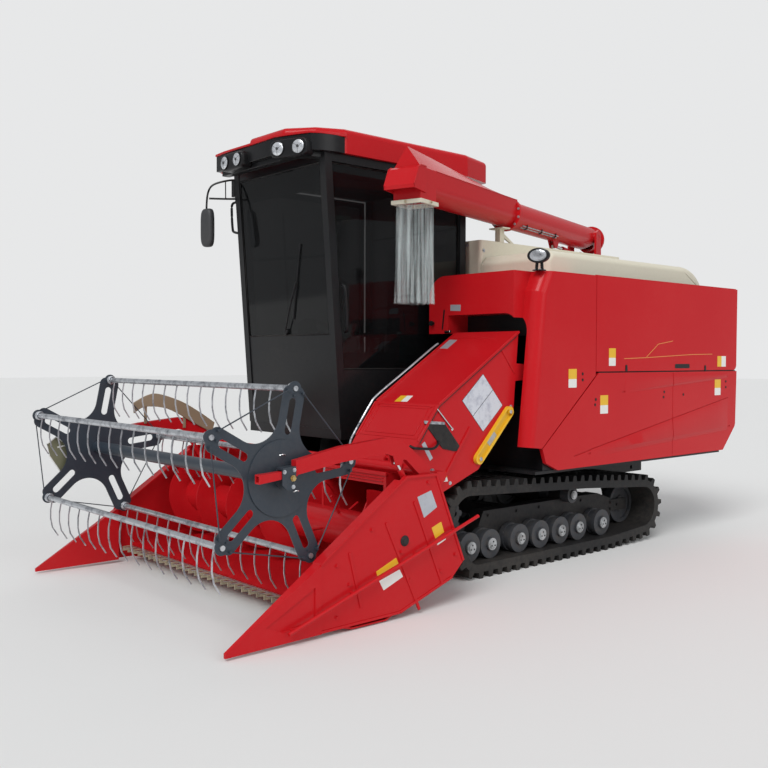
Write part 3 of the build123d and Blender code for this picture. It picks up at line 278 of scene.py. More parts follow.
def band(a, b, half):
    # outline of a straight strip from a to b
    a, b = Vector(a), Vector(b)
    across = (b - a).normalized().orthogonal() * half
    return [tuple(a + across), tuple(b + across), tuple(b - across), tuple(a - across)]


def addBox(build, low, high):
    corners = [build.verts.new((x, y, z)) for z in (low[2], high[2]) for y in (low[1], high[1])
        for x in (low[0], high[0])]
    for ring in ((0, 2, 3, 1), (4, 5, 7, 6), (0, 1, 5, 4), (2, 6, 7, 3), (0, 4, 6, 2), (1, 3, 7, 5)):
        build.faces.new([corners[k] for k in ring])


def addSkin(build, rings, closed=False):
    # a skin over rings of points, each ring of the same count, capped at both ends unless the rings close
    rings = [[build.verts.new(spot) for spot in ring] for ring in rings]
    count = len(rings[0])
    for first, second in zip(rings, rings[1:] + rings[:1] * closed):
        for k in range(count):
            build.faces.new((first[k], first[(k + 1) % count], second[(k + 1) % count], second[k]))
    if not closed:
        build.faces.new(rings[0][::-1])
        build.faces.new(rings[-1])


def addPrism(build, outline, low, high, place):
    # outline of (a, b) points carried into space by place(a, b, h), between two heights
    addSkin(build, [[place(a, b, h) for a, b in outline] for h in (low, high)])


def addTube(build, path, radius, sides=10, closed=False):
    points = [Vector(p) for p in path]
    last = len(points) - 1
    rings = []
    for k, point in enumerate(points):
        before = points[k - 1] if closed or k > 0 else point
        after = points[(k + 1) % len(points)] if closed or k < last else point
        along = (after - before).normalized()
        across = along.cross(Vector((0, 0, 1)))
        if across.length < 0.05:
            across = along.cross(Vector((1, 0, 0)))
        across.normalize()
        rise = across.cross(along)
        rings.append([point + across * math.cos(t) * radius + rise * math.sin(t) * radius for t in roundTurn(sides)])
    addSkin(build, rings, closed)


def addTurned(build, profile, centre, axis, sides=24):
    # profile of (radius, height) pairs, first and last on the axis or closed by a flat face
    turn = Vector(axis).to_track_quat("Z", "Y").to_matrix()
    centre = Vector(centre)
    rings = []
    for radius, height in profile:
        spots = [(radius * math.cos(t), radius * math.sin(t), height) for t in roundTurn(sides if radius else 1)]
        rings.append([build.verts.new(centre + turn @ Vector(spot)) for spot in spots])
    for first, second in zip(rings, rings[1:]):
        for s in range(sides):
            after = (s + 1) % sides
            if len(first) == 1:
                build.faces.new((first[0], second[after], second[s]))
            elif len(second) == 1:
                build.faces.new((first[s], first[after], second[0]))
            else:
                build.faces.new((first[s], first[after], second[after], second[s]))
    for ring, order in ((rings[0], -1), (rings[-1], 1)):
        if len(ring) > 1:
            build.faces.new(ring[::order])


def addPatch(build, outline, low, high, place, radius=0.006):
    # a thin plate with rounded corners
    corners = []
    for k, point in enumerate(outline):
        here = Vector(point)
        back, ahead = Vector(outline[k - 1]) - here, Vector(outline[(k + 1) % len(outline)]) - here
        reach = min(radius, back.length / 3, ahead.length / 3)
        a, b = here + back.normalized() * reach, here + ahead.normalized() * reach
        for step in range(5):
            t = step / 4
            corners.append(tuple(a * (1 - t) ** 2 + here * 2 * t * (1 - t) + b * t ** 2))
    addPrism(build, corners, low, high, place)


def smoothPath(points, steps=6):
    # a smooth line through the points
    places = [Vector(p) for p in points]
    out = []
    for k in range(len(places) - 1):
        a = places[max(k - 1, 0)]
        b, c = places[k], places[k + 1]
        d = places[min(k + 2, len(places) - 1)]
        for t in (s / steps for s in range(steps)):
            out.append(0.5 * ((2 * b) + (c - a) * t + (2 * a - 5 * b + 4 * c - d) * t * t
                + (3 * b - a - 3 * c + d) * t ** 3))
    out.append(places[-1])
    return out


def placePiece(name, body, slot, mesh, material, angle):
    piece = bpy.data.objects.new(name, mesh)
    bpy.context.scene.collection.objects.link(piece)
    mesh.materials.clear()
    mesh.materials.append(material or finishOf[slot])
    for face in mesh.polygons:
        face.use_smooth = True
    mesh.set_sharp_from_angle(angle=math.radians(angle))
    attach(piece, body)
    return piece


def finishPiece(name, body, slot, build, material=None, bevel=0.0, segments=2, angle=35.0):
    bmesh.ops.recalc_face_normals(build, faces=build.faces[:])
    mesh = bpy.data.meshes.new(name)
    build.to_mesh(mesh)
    build.free()
    piece = placePiece(name, body, slot, mesh, material, angle)
    if bevel:
        edge = piece.modifiers.new("softEdge", "BEVEL")
        edge.width = bevel
        edge.segments = segments
        edge.limit_method = "ANGLE"
        edge.angle_limit = math.radians(40)
        edge.harden_normals = False
    return piece


def tubePiece(name, body, slot, runs, radius, sides=8, smooth=True, **finish):
    # one piece of several tubes of one size
    build = bmesh.new()
    for run in runs:
        addTube(build, smoothPath(run) if smooth else run, radius, sides)
    return finishPiece(name, body, slot, build, **finish)


def boxPiece(name, body, slot, boxes, **finish):
    build = bmesh.new()
    for low, high in boxes:
        addBox(build, low, high)
    return finishPiece(name, body, slot, build, **finish)


def prismPiece(name, body, slot, outlines, low, high, place, **finish):
    build = bmesh.new()
    for outline in outlines:
        addPrism(build, outline, low, high, place)
    return finishPiece(name, body, slot, build, **finish)


def plateRow(name, body, slot, outlines, low, high, place, radius=0.006, **finish):
    build = bmesh.new()
    for outline in outlines:
        addPatch(build, outline, low, high, place, radius)
    return finishPiece(name, body, slot, build, **finish)


# geometry node trees for what repeats

def newTree(name, inputs):
    tree = bpy.data.node_groups.new(name, "GeometryNodeTree")
    tree.interface.new_socket("Geometry", in_out="INPUT", socket_type="NodeSocketGeometry")
    for label, kind, value in inputs:
        tree.interface.new_socket(label, in_out="INPUT", socket_type=kind).default_value = value
    tree.interface.new_socket("Material", in_out="INPUT", socket_type="NodeSocketMaterial")
    tree.interface.new_socket("Geometry", in_out="OUTPUT", socket_type="NodeSocketGeometry")
    return tree, addNode(tree, "NodeGroupInput").outputs, addNode(tree, "NodeGroupOutput").inputs


def directionOf(tree, label):
    return addNode(tree, "GeometryNodeInputNamedAttribute", {"Name": label},
        data_type="FLOAT_VECTOR").outputs["Attribute"]


def closeTree(tree, given, result, instance, rotation):
    # a copy at every point, made real geometry with its own material
    spread = addNode(tree, "GeometryNodeInstanceOnPoints",
        {"Points": given["Geometry"], "Instance": instance, "Rotation": rotation})
    real = addNode(tree, "GeometryNodeRealizeInstances", {"Geometry": spread.outputs["Instances"]})
    paint = addNode(tree, "GeometryNodeSetMaterial",
        {"Geometry": real.outputs["Geometry"], "Material": given["Material"]})
    link(tree, paint.outputs["Geometry"], result["Geometry"])
    return tree


def turnedTo(tree, label):
    return addNode(tree, "FunctionNodeAlignRotationToVector", {"Vector": directionOf(tree, label)},
        axis="Z").outputs["Rotation"]


def standingDisc(tree, sides, radius, height, base):
    # a cylinder whose foot is at a height
    disc = addNode(tree, "GeometryNodeMeshCylinder", {"Vertices": sides, "Radius": radius, "Depth": height})
    middle = addNode(tree, "ShaderNodeMath", {0: height, 1: 0.5, 2: base}, operation="MULTIPLY_ADD")
    lift = addNode(tree, "ShaderNodeCombineXYZ", {"Z": middle.outputs[0]})
    return addNode(tree, "GeometryNodeTransform",
        {"Geometry": disc.outputs["Mesh"], "Translation": lift.outputs[0]}).outputs["Geometry"]


def makeHeadTree():
    # a bolt head on its washer at every point, turned to face along the point's own direction
    tree, given, result = newTree("boltHeads", [
        ("Head Radius", "NodeSocketFloat", 0.009), ("Head Height", "NodeSocketFloat", 0.006),
        ("Washer Radius", "NodeSocketFloat", 0.012), ("Washer Height", "NodeSocketFloat", 0.002),
        ("Sides", "NodeSocketInt", 6)])
    both = addNode(tree, "GeometryNodeJoinGeometry")
    head = standingDisc(tree, given["Sides"], given["Head Radius"], given["Head Height"], given["Washer Height"])
    washer = standingDisc(tree, 16, given["Washer Radius"], given["Washer Height"], 0.0)
    link(tree, head, both.inputs["Geometry"])
    link(tree, washer, both.inputs["Geometry"])
    return closeTree(tree, given, result, both.outputs["Geometry"], turnedTo(tree, "facing"))


def makeBarTree():
    # a straight bar of rectangular section over every point, along the point's own reach
    tree, given, result = newTree("barRow", [
        ("Width", "NodeSocketFloat", 0.01), ("Depth", "NodeSocketFloat", 0.004), ("Length", "NodeSocketFloat", 1.0)])
    size = addNode(tree, "ShaderNodeCombineXYZ", {"X": given["Width"], "Y": given["Depth"], "Z": given["Length"]})
    bar = addNode(tree, "GeometryNodeMeshCube", {"Size": size.outputs[0]})
    rolled = addNode(tree, "FunctionNodeAlignRotationToVector",
        {"Rotation": turnedTo(tree, "along"), "Vector": directionOf(tree, "facing")}, axis="Y", pivot_axis="Z")
    return closeTree(tree, given, result, bar.outputs["Mesh"], rolled.outputs["Rotation"])


def makeRingTree():
    # a round ring at every point, its axis along the point's own direction
    tree, given, result = newTree("ringRow", [
        ("Ring Radius", "NodeSocketFloat", 0.03), ("Wire Radius", "NodeSocketFloat", 0.004),
        ("Sides", "NodeSocketInt", 24)])
    circle = addNode(tree, "GeometryNodeCurvePrimitiveCircle",
        {"Radius": given["Ring Radius"], "Resolution": given["Sides"]})
    section = addNode(tree, "GeometryNodeCurvePrimitiveCircle", {"Radius": given["Wire Radius"], "Resolution": 8})
    tube = addNode(tree, "GeometryNodeCurveToMesh",
        {"Curve": circle.outputs["Curve"], "Profile Curve": section.outputs["Curve"]})
    return closeTree(tree, given, result, tube.outputs["Mesh"], turnedTo(tree, "facing"))


boltHeads = makeHeadTree()
barRow = makeBarTree()
ringRow = makeRingTree()


def growPiece(name, body, slot, tree, places, values, facing=(1, 0, 0), along=(0, 0, 1), material=None):
    # points with their directions go through a tree, and the result is kept as a plain mesh
    seedMesh = bpy.data.meshes.new(name + "Seeds")
    seedMesh.from_pydata([tuple(p) for p in places], [], [])
    for label, value in (("facing", facing), ("along", along)):
        lane = seedMesh.attributes.new(label, "FLOAT_VECTOR", "POINT")
        for k in range(len(places)):
            lane.data[k].vector = value[k] if isinstance(value[0], (tuple, Vector)) else value
    seed = bpy.data.objects.new(name + "Seeds", seedMesh)
    bpy.context.scene.collection.objects.link(seed)
    grow = seed.modifiers.new("grow", "NODES")
    grow.node_group = tree
    named = {item.name: item.identifier for item in tree.interface.items_tree if item.in_out == "INPUT"}
    for key, value in {**values, "Material": material or finishOf[slot]}.items():
        grow[named[key]] = value
    bpy.context.view_layer.update()
    ready = seed.evaluated_get(bpy.context.evaluated_depsgraph_get())
    mesh = bpy.data.meshes.new_from_object(ready)
    mesh.name = name
    seed.modifiers.clear()
    bpy.data.objects.remove(seed)
    for label in ("facing", "along"):
        if label in mesh.attributes:
            mesh.attributes.remove(mesh.attributes[label])
    return placePiece(name, body, slot, mesh, material, 35)


def boltSize(radius, height, washer, washerHeight, sides=6):
    return {"Head Radius": radius, "Head Height": height, "Washer Radius": washer, "Washer Height": washerHeight,
        "Sides": sides}


def barSize(width, depth, length):
    return {"Width": width, "Depth": depth, "Length": length}


def ringSize(radius, wire, sides=24):
    return {"Ring Radius": radius, "Wire Radius": wire, "Sides": sides}


print("node trees ready")


# clear curtain under the boom's spout

curtainKit = {"middle": (0.434, -0.697), "bearing": 15.9, "half": 0.0985, "corner": 0.03, "top": 2.474,
    "bottom": 1.805, "folds": 15, "foldTop": 0.0012, "foldBottom": 0.0075, "spread": 0.007, "around": 192,
    "rows": 44, "thickness": 0.0012}


def squareSpot(kit, reach):
    # a place and its outward way round the spout's square with rounded corners
    straight = kit["half"] - kit["corner"]
    side = 2 * straight
    quarter, rest = divmod(reach, side + math.pi / 2 * kit["corner"])
    if rest < side:
        spot, out = Vector((kit["half"], -straight + rest, 0)), Vector((1, 0, 0))
    else:
        angle = (rest - side) / kit["corner"]
        out = Vector((math.cos(angle), math.sin(angle), 0))
        spot = Vector((straight, straight, 0)) + out * kit["corner"]
    lean = math.pi / 2 * quarter
    swirl = Matrix.Rotation(lean, 3, "Z")
    return swirl @ spot, swirl @ out, lean


def makeCurtain(kit):
    random.seed(4)
    turn = math.radians(kit["bearing"])
    ahead, aside = Vector((math.sin(turn), -math.cos(turn), 0)), Vector((math.cos(turn), math.sin(turn), 0))
    whole = 8 * (kit["half"] - kit["corner"]) + 2 * math.pi * kit["corner"]
    swing = [random.uniform(0.6, 1.4) for _ in range(kit["folds"] + 1)]
    rings = []
    for row in range(kit["rows"] + 1):
        down = row / kit["rows"]
        fold = kit["foldTop"] + (kit["foldBottom"] - kit["foldTop"]) * down ** 0.8
        z = kit["top"] + (kit["bottom"] - kit["top"]) * down
        ring = []
        for k in range(kit["around"]):
            spot, out, lean = squareSpot(kit, whole * k / kit["around"])
            phase = k / kit["around"] * kit["folds"]
            wave = math.sin(2 * math.pi * phase + 0.5 * math.sin(3.1 * down + phase))
            wave += 0.35 * math.sin(4.7 * math.pi * phase + 2.0 * down)
            flare = kit["spread"] * down ** 2 * (1 + 0.6 * math.sin(lean + 1.0))
            spot = spot + out * (fold * swing[int(phase)] * wave + flare)
            hem = 0.004 * math.sin(7 * phase) * down
            ring.append(Vector((*kit["middle"], z + hem)) + ahead * spot.x + aside * spot.y)
        rings.append(ring)
    build = bmesh.new()
    rows = [[build.verts.new(spot) for spot in ring] for ring in rings]
    for first, second in zip(rows, rows[1:]):
        for k in range(kit["around"]):
            after = (k + 1) % kit["around"]
            build.faces.new((first[k], second[k], second[after], first[after]))
    area = sum(face.calc_area() for face in build.faces)
    curtain = finishPiece("spoutCurtain", "boom", "clear_curtain", build, angle=180)
    wall = curtain.modifiers.new("wall", "SOLIDIFY")
    wall.thickness = kit["thickness"]
    wall.offset = 0
    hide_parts("spout_curtain")


makeCurtain(curtainKit)
print("curtain hung")


# operator's seat: two padded cushions on a pan with a back shell

seatKit = {"cushion": ((-0.80, -0.32, 1.385), (-0.34, 0.14, 1.47)),
    "back": ((-0.775, 0.075, 1.50), (-0.345, 0.155, 1.955)), "inset": 0.012, "voxel": 0.008, "pressure": 4.0,
    "cap": 0.012, "channel": 0.006, "channelHalf": 0.018, "frames": 20,
    "pan": ((-0.79, -0.31, 1.335), (-0.35, 0.13, 1.385)),
    "shell": ((0.15, 1.40), (0.172, 1.96), (0.192, 1.965), (0.18, 1.40)),
    "bracket": ((0.08, 1.36), (0.18, 1.36), (0.18, 1.45), (0.15, 1.45)),
    "arms": ((0.13, 1.42), (0.12, 1.58), (0.05, 1.625), (-0.18, 1.63))}


def meshAsSeen(piece):
    return bpy.data.meshes.new_from_object(piece.evaluated_get(bpy.context.evaluated_depsgraph_get()))


def puffMesh(pad, kit):
    cloth = pad.modifiers.new("puff", "CLOTH")
    cloth.settings.use_pressure = True
    cloth.settings.uniform_pressure_force = kit["pressure"]
    cloth.settings.effector_weights.gravity = 0
    cloth.settings.quality = 5
    for step in range(kit["frames"]):
        bpy.context.scene.frame_set(step + 1)
    puffed = meshAsSeen(pad)
    pad.modifiers.clear()
    pad.data = puffed
    bpy.context.scene.frame_set(1)


def puffPad(name, low, high, deep, lean, channels, kit):
    # deep is the axis that the sewn channels sink along, lean how far the pad tips back
    build = bmesh.new()
    inset = Vector((kit["inset"],) * 3)
    low, high = Vector(low) + inset, Vector(high) - inset
    addBox(build, low, high)
    bmesh.ops.bevel(build, geom=build.edges[:], offset=0.022, segments=3, affect="EDGES")
    bmesh.ops.recalc_face_normals(build, faces=build.faces[:])
    mesh = bpy.data.meshes.new(name)
    build.to_mesh(mesh)
    build.free()
    pad = bpy.data.objects.new(name, mesh)
    bpy.context.scene.collection.objects.link(pad)
    even = pad.modifiers.new("even", "REMESH")
    even.mode = "VOXEL"
    even.voxel_size = kit["voxel"]
    ready = meshAsSeen(pad)
    pad.modifiers.clear()
    pad.data = ready
    start = [v.co.copy() for v in ready.vertices]
    puffMesh(pad, kit)
    middle = (low + high) / 2
    for vertex, first in zip(pad.data.vertices, start):
        move = vertex.co - first
        if move.length > kit["cap"]:
            vertex.co = first + move.normalized() * kit["cap"]
        for axis, place in channels:
            gap = abs(vertex.co[axis] - place) / kit["channelHalf"]
            if gap < 1:
                dent = kit["channel"] * (1 - gap) ** 2
                vertex.co[deep] -= math.copysign(dent, vertex.co[deep] - middle[deep])
        vertex.co.y += lean * (vertex.co.z - low.z)
    for face in pad.data.polygons:
        face.use_smooth = True
    pad.data.materials.clear()
    pad.data.materials.append(seatFabric)
    fine = pad.modifiers.new("fine", "SUBSURF")
    fine.levels = fine.render_levels = 1
    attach(pad, "chassis")


def makeSeat(kit):
    puffPad("seatCushion", *kit["cushion"], 2, 0.0, ((0, -0.68), (0, -0.46), (1, -0.17)), kit)
    puffPad("seatBack", *kit["back"], 1, 0.03, ((0, -0.665), (0, -0.455), (2, 1.80)), kit)
    build = bmesh.new()
    addBox(build, *kit["pan"])
    addPrism(build, kit["shell"], -0.77, -0.35, onSide)
    addPrism(build, kit["bracket"], -0.70, -0.42, onSide)
    pan = finishPiece("seatPan", "chassis", "console_plastic", build, bevel=0.008, segments=3)
    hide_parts("operator_seat")
    tubePiece("armRests", "chassis", "seat_vinyl", [[(x, y, z) for y, z in kit["arms"]] for x in (-0.83, -0.315)],
        0.017, 12, material=seatFabric)


makeSeat(seatKit)
print("seat made")


# mirror: curved arms off the cab's corner, a rounded shell that faces the rear, and its glass

mirrorKit = {"middle": (-1.226, -1.296, 2.425), "width": 0.118, "height": 0.29, "depth": 0.044, "facing": 14.5,
    "rim": 0.009, "arm": 0.0075,
    "upperArm": ((-1.122, -1.082, 2.795), (-1.165, -1.145, 2.79), (-1.225, -1.235, 2.757), (-1.243, -1.272, 2.70),
        (-1.238, -1.290, 2.60), (-1.228, -1.294, 2.50)),
    "lowerArm": ((-1.122, -1.082, 2.652), (-1.18, -1.172, 2.65), (-1.241, -1.266, 2.65)),
    "shell": ((0.0, 1.0), (0.35, 1.0), (0.6, 0.97), (0.8, 0.88), (0.93, 0.72), (1.0, 0.45))}


def makeMirror(kit):
    build = bmesh.new()
    for arm in ("upperArm", "lowerArm"):
        addTube(build, smoothPath(kit[arm]), kit["arm"], 10)
    addTube(build, [(-1.174, -1.162, 2.65), (-1.176, -1.162, 2.786)], 0.0045, 8)
    addBox(build, (-1.1305, -1.106, 2.625), (-1.118, -1.052, 2.815))
    addBox(build, (-1.172, -1.112, 2.668), (-1.128, -1.052, 2.802))
    arms = finishPiece("mirrorArms", "chassis", "black_paint", build, bevel=0.0015)
    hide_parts("mirrors")
    turn = Matrix.Rotation(math.radians(180 + kit["facing"]), 3, "Z")
    middle = Vector(kit["middle"])
    half, tall, deep = kit["width"] / 2, kit["height"] / 2, kit["depth"] / 2

    def inPlace(a, b, h):
        return middle + turn @ Vector((a, h, b))

    rings = []
    for back, grow in kit["shell"]:
        spots = [ovalSpot(t, half * grow, tall * (0.5 + 0.5 * grow), 0.5) for t in roundTurn(40)]
        rings.append([inPlace(a, b, (2 * back - 1) * deep) for a, b in spots])
    build = bmesh.new()
    addSkin(build, rings)
    finishPiece("mirrorShell", "chassis", "console_plastic", build, angle=60)
    outline = [ovalSpot(t, half - kit["rim"], tall - kit["rim"], 0.5) for t in roundTurn(40)]
    prismPiece("mirrorGlass", "chassis", "cylinder_chrome", [outline], -deep - 0.0015, -deep + 0.002, inPlace,
        material=mirrorSilver)


makeMirror(mirrorKit)


# cab fittings

cabKit = {"floor": 0.95, "floorFront": -0.981, "glassLean": 0.075, "railRadius": 0.011,
    "visor": ((-1.035, 2.60), (-0.085, 2.765)), "rearWindow": 0.205, "rearBars": (1.86, 2.44),
    "rearPosts": (-0.75, -0.37), "wiper": ((-0.56, 1.63, 0.022), (-0.48, 1.80, 0.026), (-0.40, 1.98, 0.015)),
    "blade": ((-0.47, 1.72), (-0.335, 2.24)),
    "handles": (((-1.118, -1.088, 2.628), (-1.152, -1.116, 2.612), (-1.156, -1.119, 2.54), (-1.156, -1.112, 2.43),
        (-1.148, -1.104, 2.402), (-1.116, -1.076, 2.392)),
        ((0.002, -0.94, 1.62), (0.03, -0.948, 1.66), (0.03, -0.965, 1.90), (0.002, -0.972, 1.94))),
    "pull": ((-1.15, 1.58), (-1.176, 1.586), (-1.178, 1.61), (-1.176, 1.634), (-1.15, 1.64)),
    "doorSeal": ((-0.858, 1.012), (-0.462, 1.012), (-0.462, 1.422), (0.133, 1.422), (0.133, 2.713), (-0.983, 2.713))}


def frontGlass(z, out=0.0):
    return cabKit["floorFront"] - cabKit["glassLean"] * (z - cabKit["floor"]) + 0.010 - out


def makeWiper(kit):
    # parked across the lower glass
    build = bmesh.new()
    x, z, _ = kit["wiper"][0]
    addTurned(build, [(0.022, 0.0), (0.022, 0.018), (0.014, 0.024)], (x, frontGlass(z), z), (0, -1, 0), 20)
    addTube(build, smoothPath([(x, frontGlass(z, out), z) for x, z, out in kit["wiper"]]), 0.005, 8)
    addTube(build, [(x, frontGlass(z, 0.007), z) for x, z in kit["blade"]], 0.0055, 6)
    finishPiece("wiper", "chassis", "black_paint", build)


def makeSeals(kit):
    # rubber seals round the panes
    build = bmesh.new()
    front = ((-1.054, 1.606), (-0.066, 1.606), (-0.066, 2.764), (-1.054, 2.764))
    addTube(build, [(x, frontGlass(z, 0.002), z) for x, z in front], 0.0065, 6, closed=True)
    side = [(-0.021, frontGlass(z, -0.054), z) for z in (1.366, 2.764)] + [(-0.021, 0.185, z) for z in (2.764, 1.366)]
    addTube(build, side, 0.0065, 6, closed=True)
    finishPiece("glassSeals", "chassis", "track_rubber", build)
    build = bmesh.new()
    addTube(build, [(-1.142, y, z) for y, z in kit["doorSeal"]], 0.006, 6, closed=True)
    finishPiece("doorSeal", "cab_door", "track_rubber", build)


def makeCabFittings(kit):
    tubePiece("grabHandles", "chassis", "black_paint", kit["handles"], 0.0095, 12)
    build = bmesh.new()
    addTube(build, [(-1.055, frontGlass(2.18, -0.05), 2.18), (-0.065, frontGlass(2.18, -0.05), 2.145)],
        kit["railRadius"], 10)
    addTube(build, [(-0.672, -0.985, 2.50), (-0.668, -0.925, 1.60)], 0.008, 10)
    y = kit["rearWindow"]
    for z in kit["rearBars"]:
        addTube(build, [(-1.05, y, z), (-0.07, y, z)], 0.009, 8)
    for x in kit["rearPosts"]:
        addTube(build, [(x, y, 1.50), (x, y, 2.77)], 0.009, 8)
    finishPiece("cabRails", "chassis", "black_paint", build)
    prismPiece("sunVisor", "chassis", "console_plastic", [box2(*kit["visor"])], 0.022, 0.028,
        lambda a, b, h: (a, frontGlass(b, -h), b), bevel=0.002)
    makeWiper(kit)
    makeSeals(kit)
    build = bmesh.new()
    addBox(build, (-1.1535, -0.905, 1.56), (-1.1475, -0.872, 1.66))
    addTube(build, smoothPath([(x, -0.888, z) for x, z in kit["pull"]]), 0.007, 8)
    finishPiece("doorPull", "cab_door", "cylinder_chrome", build)


makeCabFittings(cabKit)


# levers, wheel and screen on the consoles

controlKit = {"wheelRadius": 0.17, "wheelAt": (-0.56, -0.70, 1.63), "wheelLean": -32, "spokes": (0.5, 2.6, 4.7),
    "columnFoot": (-0.56, -0.80, 1.52), "case": ((-0.655, 1.565), (-0.465, 1.71)),
    "screen": ((-0.645, 1.577), (-0.475, 1.70)),
    "levers": ((-0.20, -0.66), (-0.16, -0.60), (-0.20, -0.54)),
    "hub": ((0.045, -0.025), (0.045, 0.0), (0.03, 0.012), (0.0, 0.014)),
    "knob": ((0.008, -0.022), (0.017, -0.012), (0.021, 0.004), (0.016, 0.020), (0.0, 0.026)),
    "boot": ((0.026, 0.0), (0.018, 0.014), (0.010, 0.020)),
    "stick": ((0.028, 0.0), (0.024, 0.03), (0.018, 0.10), (0.024, 0.15), (0.0, 0.165))}


def makeControls(kit):
    build = bmesh.new()
    centre, radius = Vector(kit["wheelAt"]), kit["wheelRadius"]
    lean = Matrix.Rotation(math.radians(kit["wheelLean"]), 3, "X")

    def onWheel(angle, reach, up=0.0):
        return centre + lean @ Vector((reach * math.cos(angle), reach * math.sin(angle), up))

    addTube(build, [onWheel(t, radius) for t in roundTurn(36)], 0.013, 10, closed=True)
    for t in kit["spokes"]:
        addTube(build, [onWheel(t, 0.03, -0.01), onWheel(t, radius - 0.005)], 0.009, 8)
    addTurned(build, kit["hub"], centre, lean @ Vector((0, 0, 1)), 20)
    addTube(build, [centre, kit["columnFoot"]], 0.024, 12)
    finishPiece("steeringWheel", "chassis", "console_plastic", build)
    tubePiece("leverRods", "chassis", "cylinder_chrome",
        [[(x, y, 1.475), (x, y + 0.01, 1.60)] for x, y in kit["levers"]], 0.006, smooth=False)
    build = bmesh.new()
    for x, y in kit["levers"]:
        addTurned(build, kit["knob"], (x, y + 0.01, 1.61), (0, 0, 1), 16)
        addTurned(build, kit["boot"], (x, y, 1.479), (0, 0, 1), 16)
    addTurned(build, kit["stick"], (-0.17, -0.47, 1.478), (0, 0.1, 1), 18)
    finishPiece("leverKnobs", "chassis", "console_plastic", build)
    prismPiece("screenCase", "chassis", "console_plastic", [box2(*kit["case"])], -0.862, -0.83, onFront, bevel=0.006,
        segments=3)
    prismPiece("screenGlass", "chassis", "tinted_glass", [box2(*kit["screen"])], -0.831, -0.8285, onFront,
        material=screenGlass)


makeControls(controlKit)
print("cab fitted")


# lamps

lampKit = {"radius": 0.047, "low": 2.800, "high": 2.938,
    "places": ((-0.886, -1.350, 2.851, 0.0), (-0.723, -1.350, 2.853, 0.0), (-0.219, -1.348, 2.842, 21.0),
        (-0.066, -1.290, 2.844, 21.0)),
    "front": ((-1.105, -1.284), (-0.960, -1.300), (-0.650, -1.300), (-0.300, -1.312), (-0.030, -1.214),
        (0.012, -1.150), (0.036, -1.040)),
    "back": ((0.026, -0.962), (-0.062, -1.146), (-0.150, -1.215), (-0.150, -1.250), (-1.105, -1.250)),
    "under": ((-1.060, -1.262), (-0.190, -1.266), (-0.060, -1.196), (-0.030, -1.090), (-0.110, -1.130),
        (-0.190, -1.200), (-1.060, -1.200)),
    "rimBack": ((0.040, -0.960), (0.020, -0.960), (-0.070, -1.140), (-0.170, -1.230), (-0.640, -1.260),
        (-1.105, -1.240)),
    "pod": ((1.0, 0.085), (1.0, 0.030), (0.97, 0.012), (0.90, 0.003), (0.84, 0.0015)),
    "lens": ((0.047, -0.004), (0.047, 0.002), (0.040, 0.0055), (0.022, 0.0082), (0.0, 0.0088)),
    "bulb": ((0.010, 0.004), (0.010, 0.011), (0.0, 0.012))}


def makeRoofFascia(kit):
    # black band under the roof's front edge, bent round its left corner, with two raised pods
    build = bmesh.new()
    addPrism(build, kit["front"] + kit["back"], kit["low"] + 0.026, kit["high"], flat)
    addPrism(build, kit["under"], 2.790, kit["low"] + 0.028, flat)
    for (x0, y0, z0, lean), (x1, y1, z1, _) in (kit["places"][:2], kit["places"][2:]):
        middle = Vector(((x0 + x1) / 2, (y0 + y1) / 2, (z0 + z1) / 2))
        turn = Matrix.Rotation(math.radians(lean), 3, "Z")
        rings = []
        for grow, depth in kit["pod"]:
            spots = [ovalSpot(t, 0.150 * (0.55 + 0.45 * grow), 0.063 * grow, 0.45) for t in roundTurn(48)]
            rings.append([middle + turn @ Vector((a, depth, b)) for a, b in spots])
        addSkin(build, rings)
    fascia = finishPiece("roofFascia", "chassis", "black_paint", build, bevel=0.003)
    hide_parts("roof_fascia", "roof_lamps")
    rim = tuple((a, b - 0.010) for a, b in kit["front"][:-1]) + kit["rimBack"]
    prismPiece("roofRim", "chassis", "red_paint", [rim], kit["high"] - 0.001, kit["high"] + 0.016, flat,
        bevel=0.004, segments=3)


def makeRoofLamps(kit):
    ways = [Matrix.Rotation(math.radians(lean), 3, "Z") @ Vector((0, -1, 0)) for _, _, _, lean in kit["places"]]
    faces = [Vector(place[:3]) + way * 0.001 for place, way in zip(kit["places"], ways)]
    growPiece("lampBezels", "chassis", "black_paint", ringRow, [face + way * 0.002 for face, way in zip(faces, ways)],
        ringSize(kit["radius"] + 0.001, 0.0036, 36), facing=ways)
    lenses, bulbs = bmesh.new(), bmesh.new()
    for face, way in zip(faces, ways):
        addTurned(lenses, kit["lens"], face, way, 28)
        addTurned(bulbs, kit["bulb"], face, way, 16)
        turn = way.to_track_quat("Z", "Y").to_matrix()
        for t in (0.5, 2.594, 4.688):
            run = [(reach * math.cos(t), reach * math.sin(t), up) for reach, up in ((0.012, 0.0088), (0.042, 0.0048))]
            addTube(bulbs, [face + turn @ Vector(spot) for spot in run], 0.0015, 6)
    finishPiece("lampLenses", "chassis", "lamp_glass", lenses, lampReflector, angle=60)
    finishPiece("lampBulbs", "chassis", "console_plastic", bulbs)


workLampKit = {"middle": (0.932, -0.012, 2.136), "wide": 0.077, "tall": 0.051, "facing": 24.0, "base": 2.041,
    "case": ((0.74, -0.026), (0.80, -0.0335), (0.97, -0.031), (1.0, -0.024), (1.0, 0.0), (0.9, 0.02), (0.62, 0.036),
        (0.3, 0.042)),
    "lens": ((0.76, -0.0255), (0.75, -0.031), (0.5, -0.035), (0.25, -0.036)),
    "bolts": ((-0.024, -0.018), (0.024, -0.018), (0.024, 0.022))}


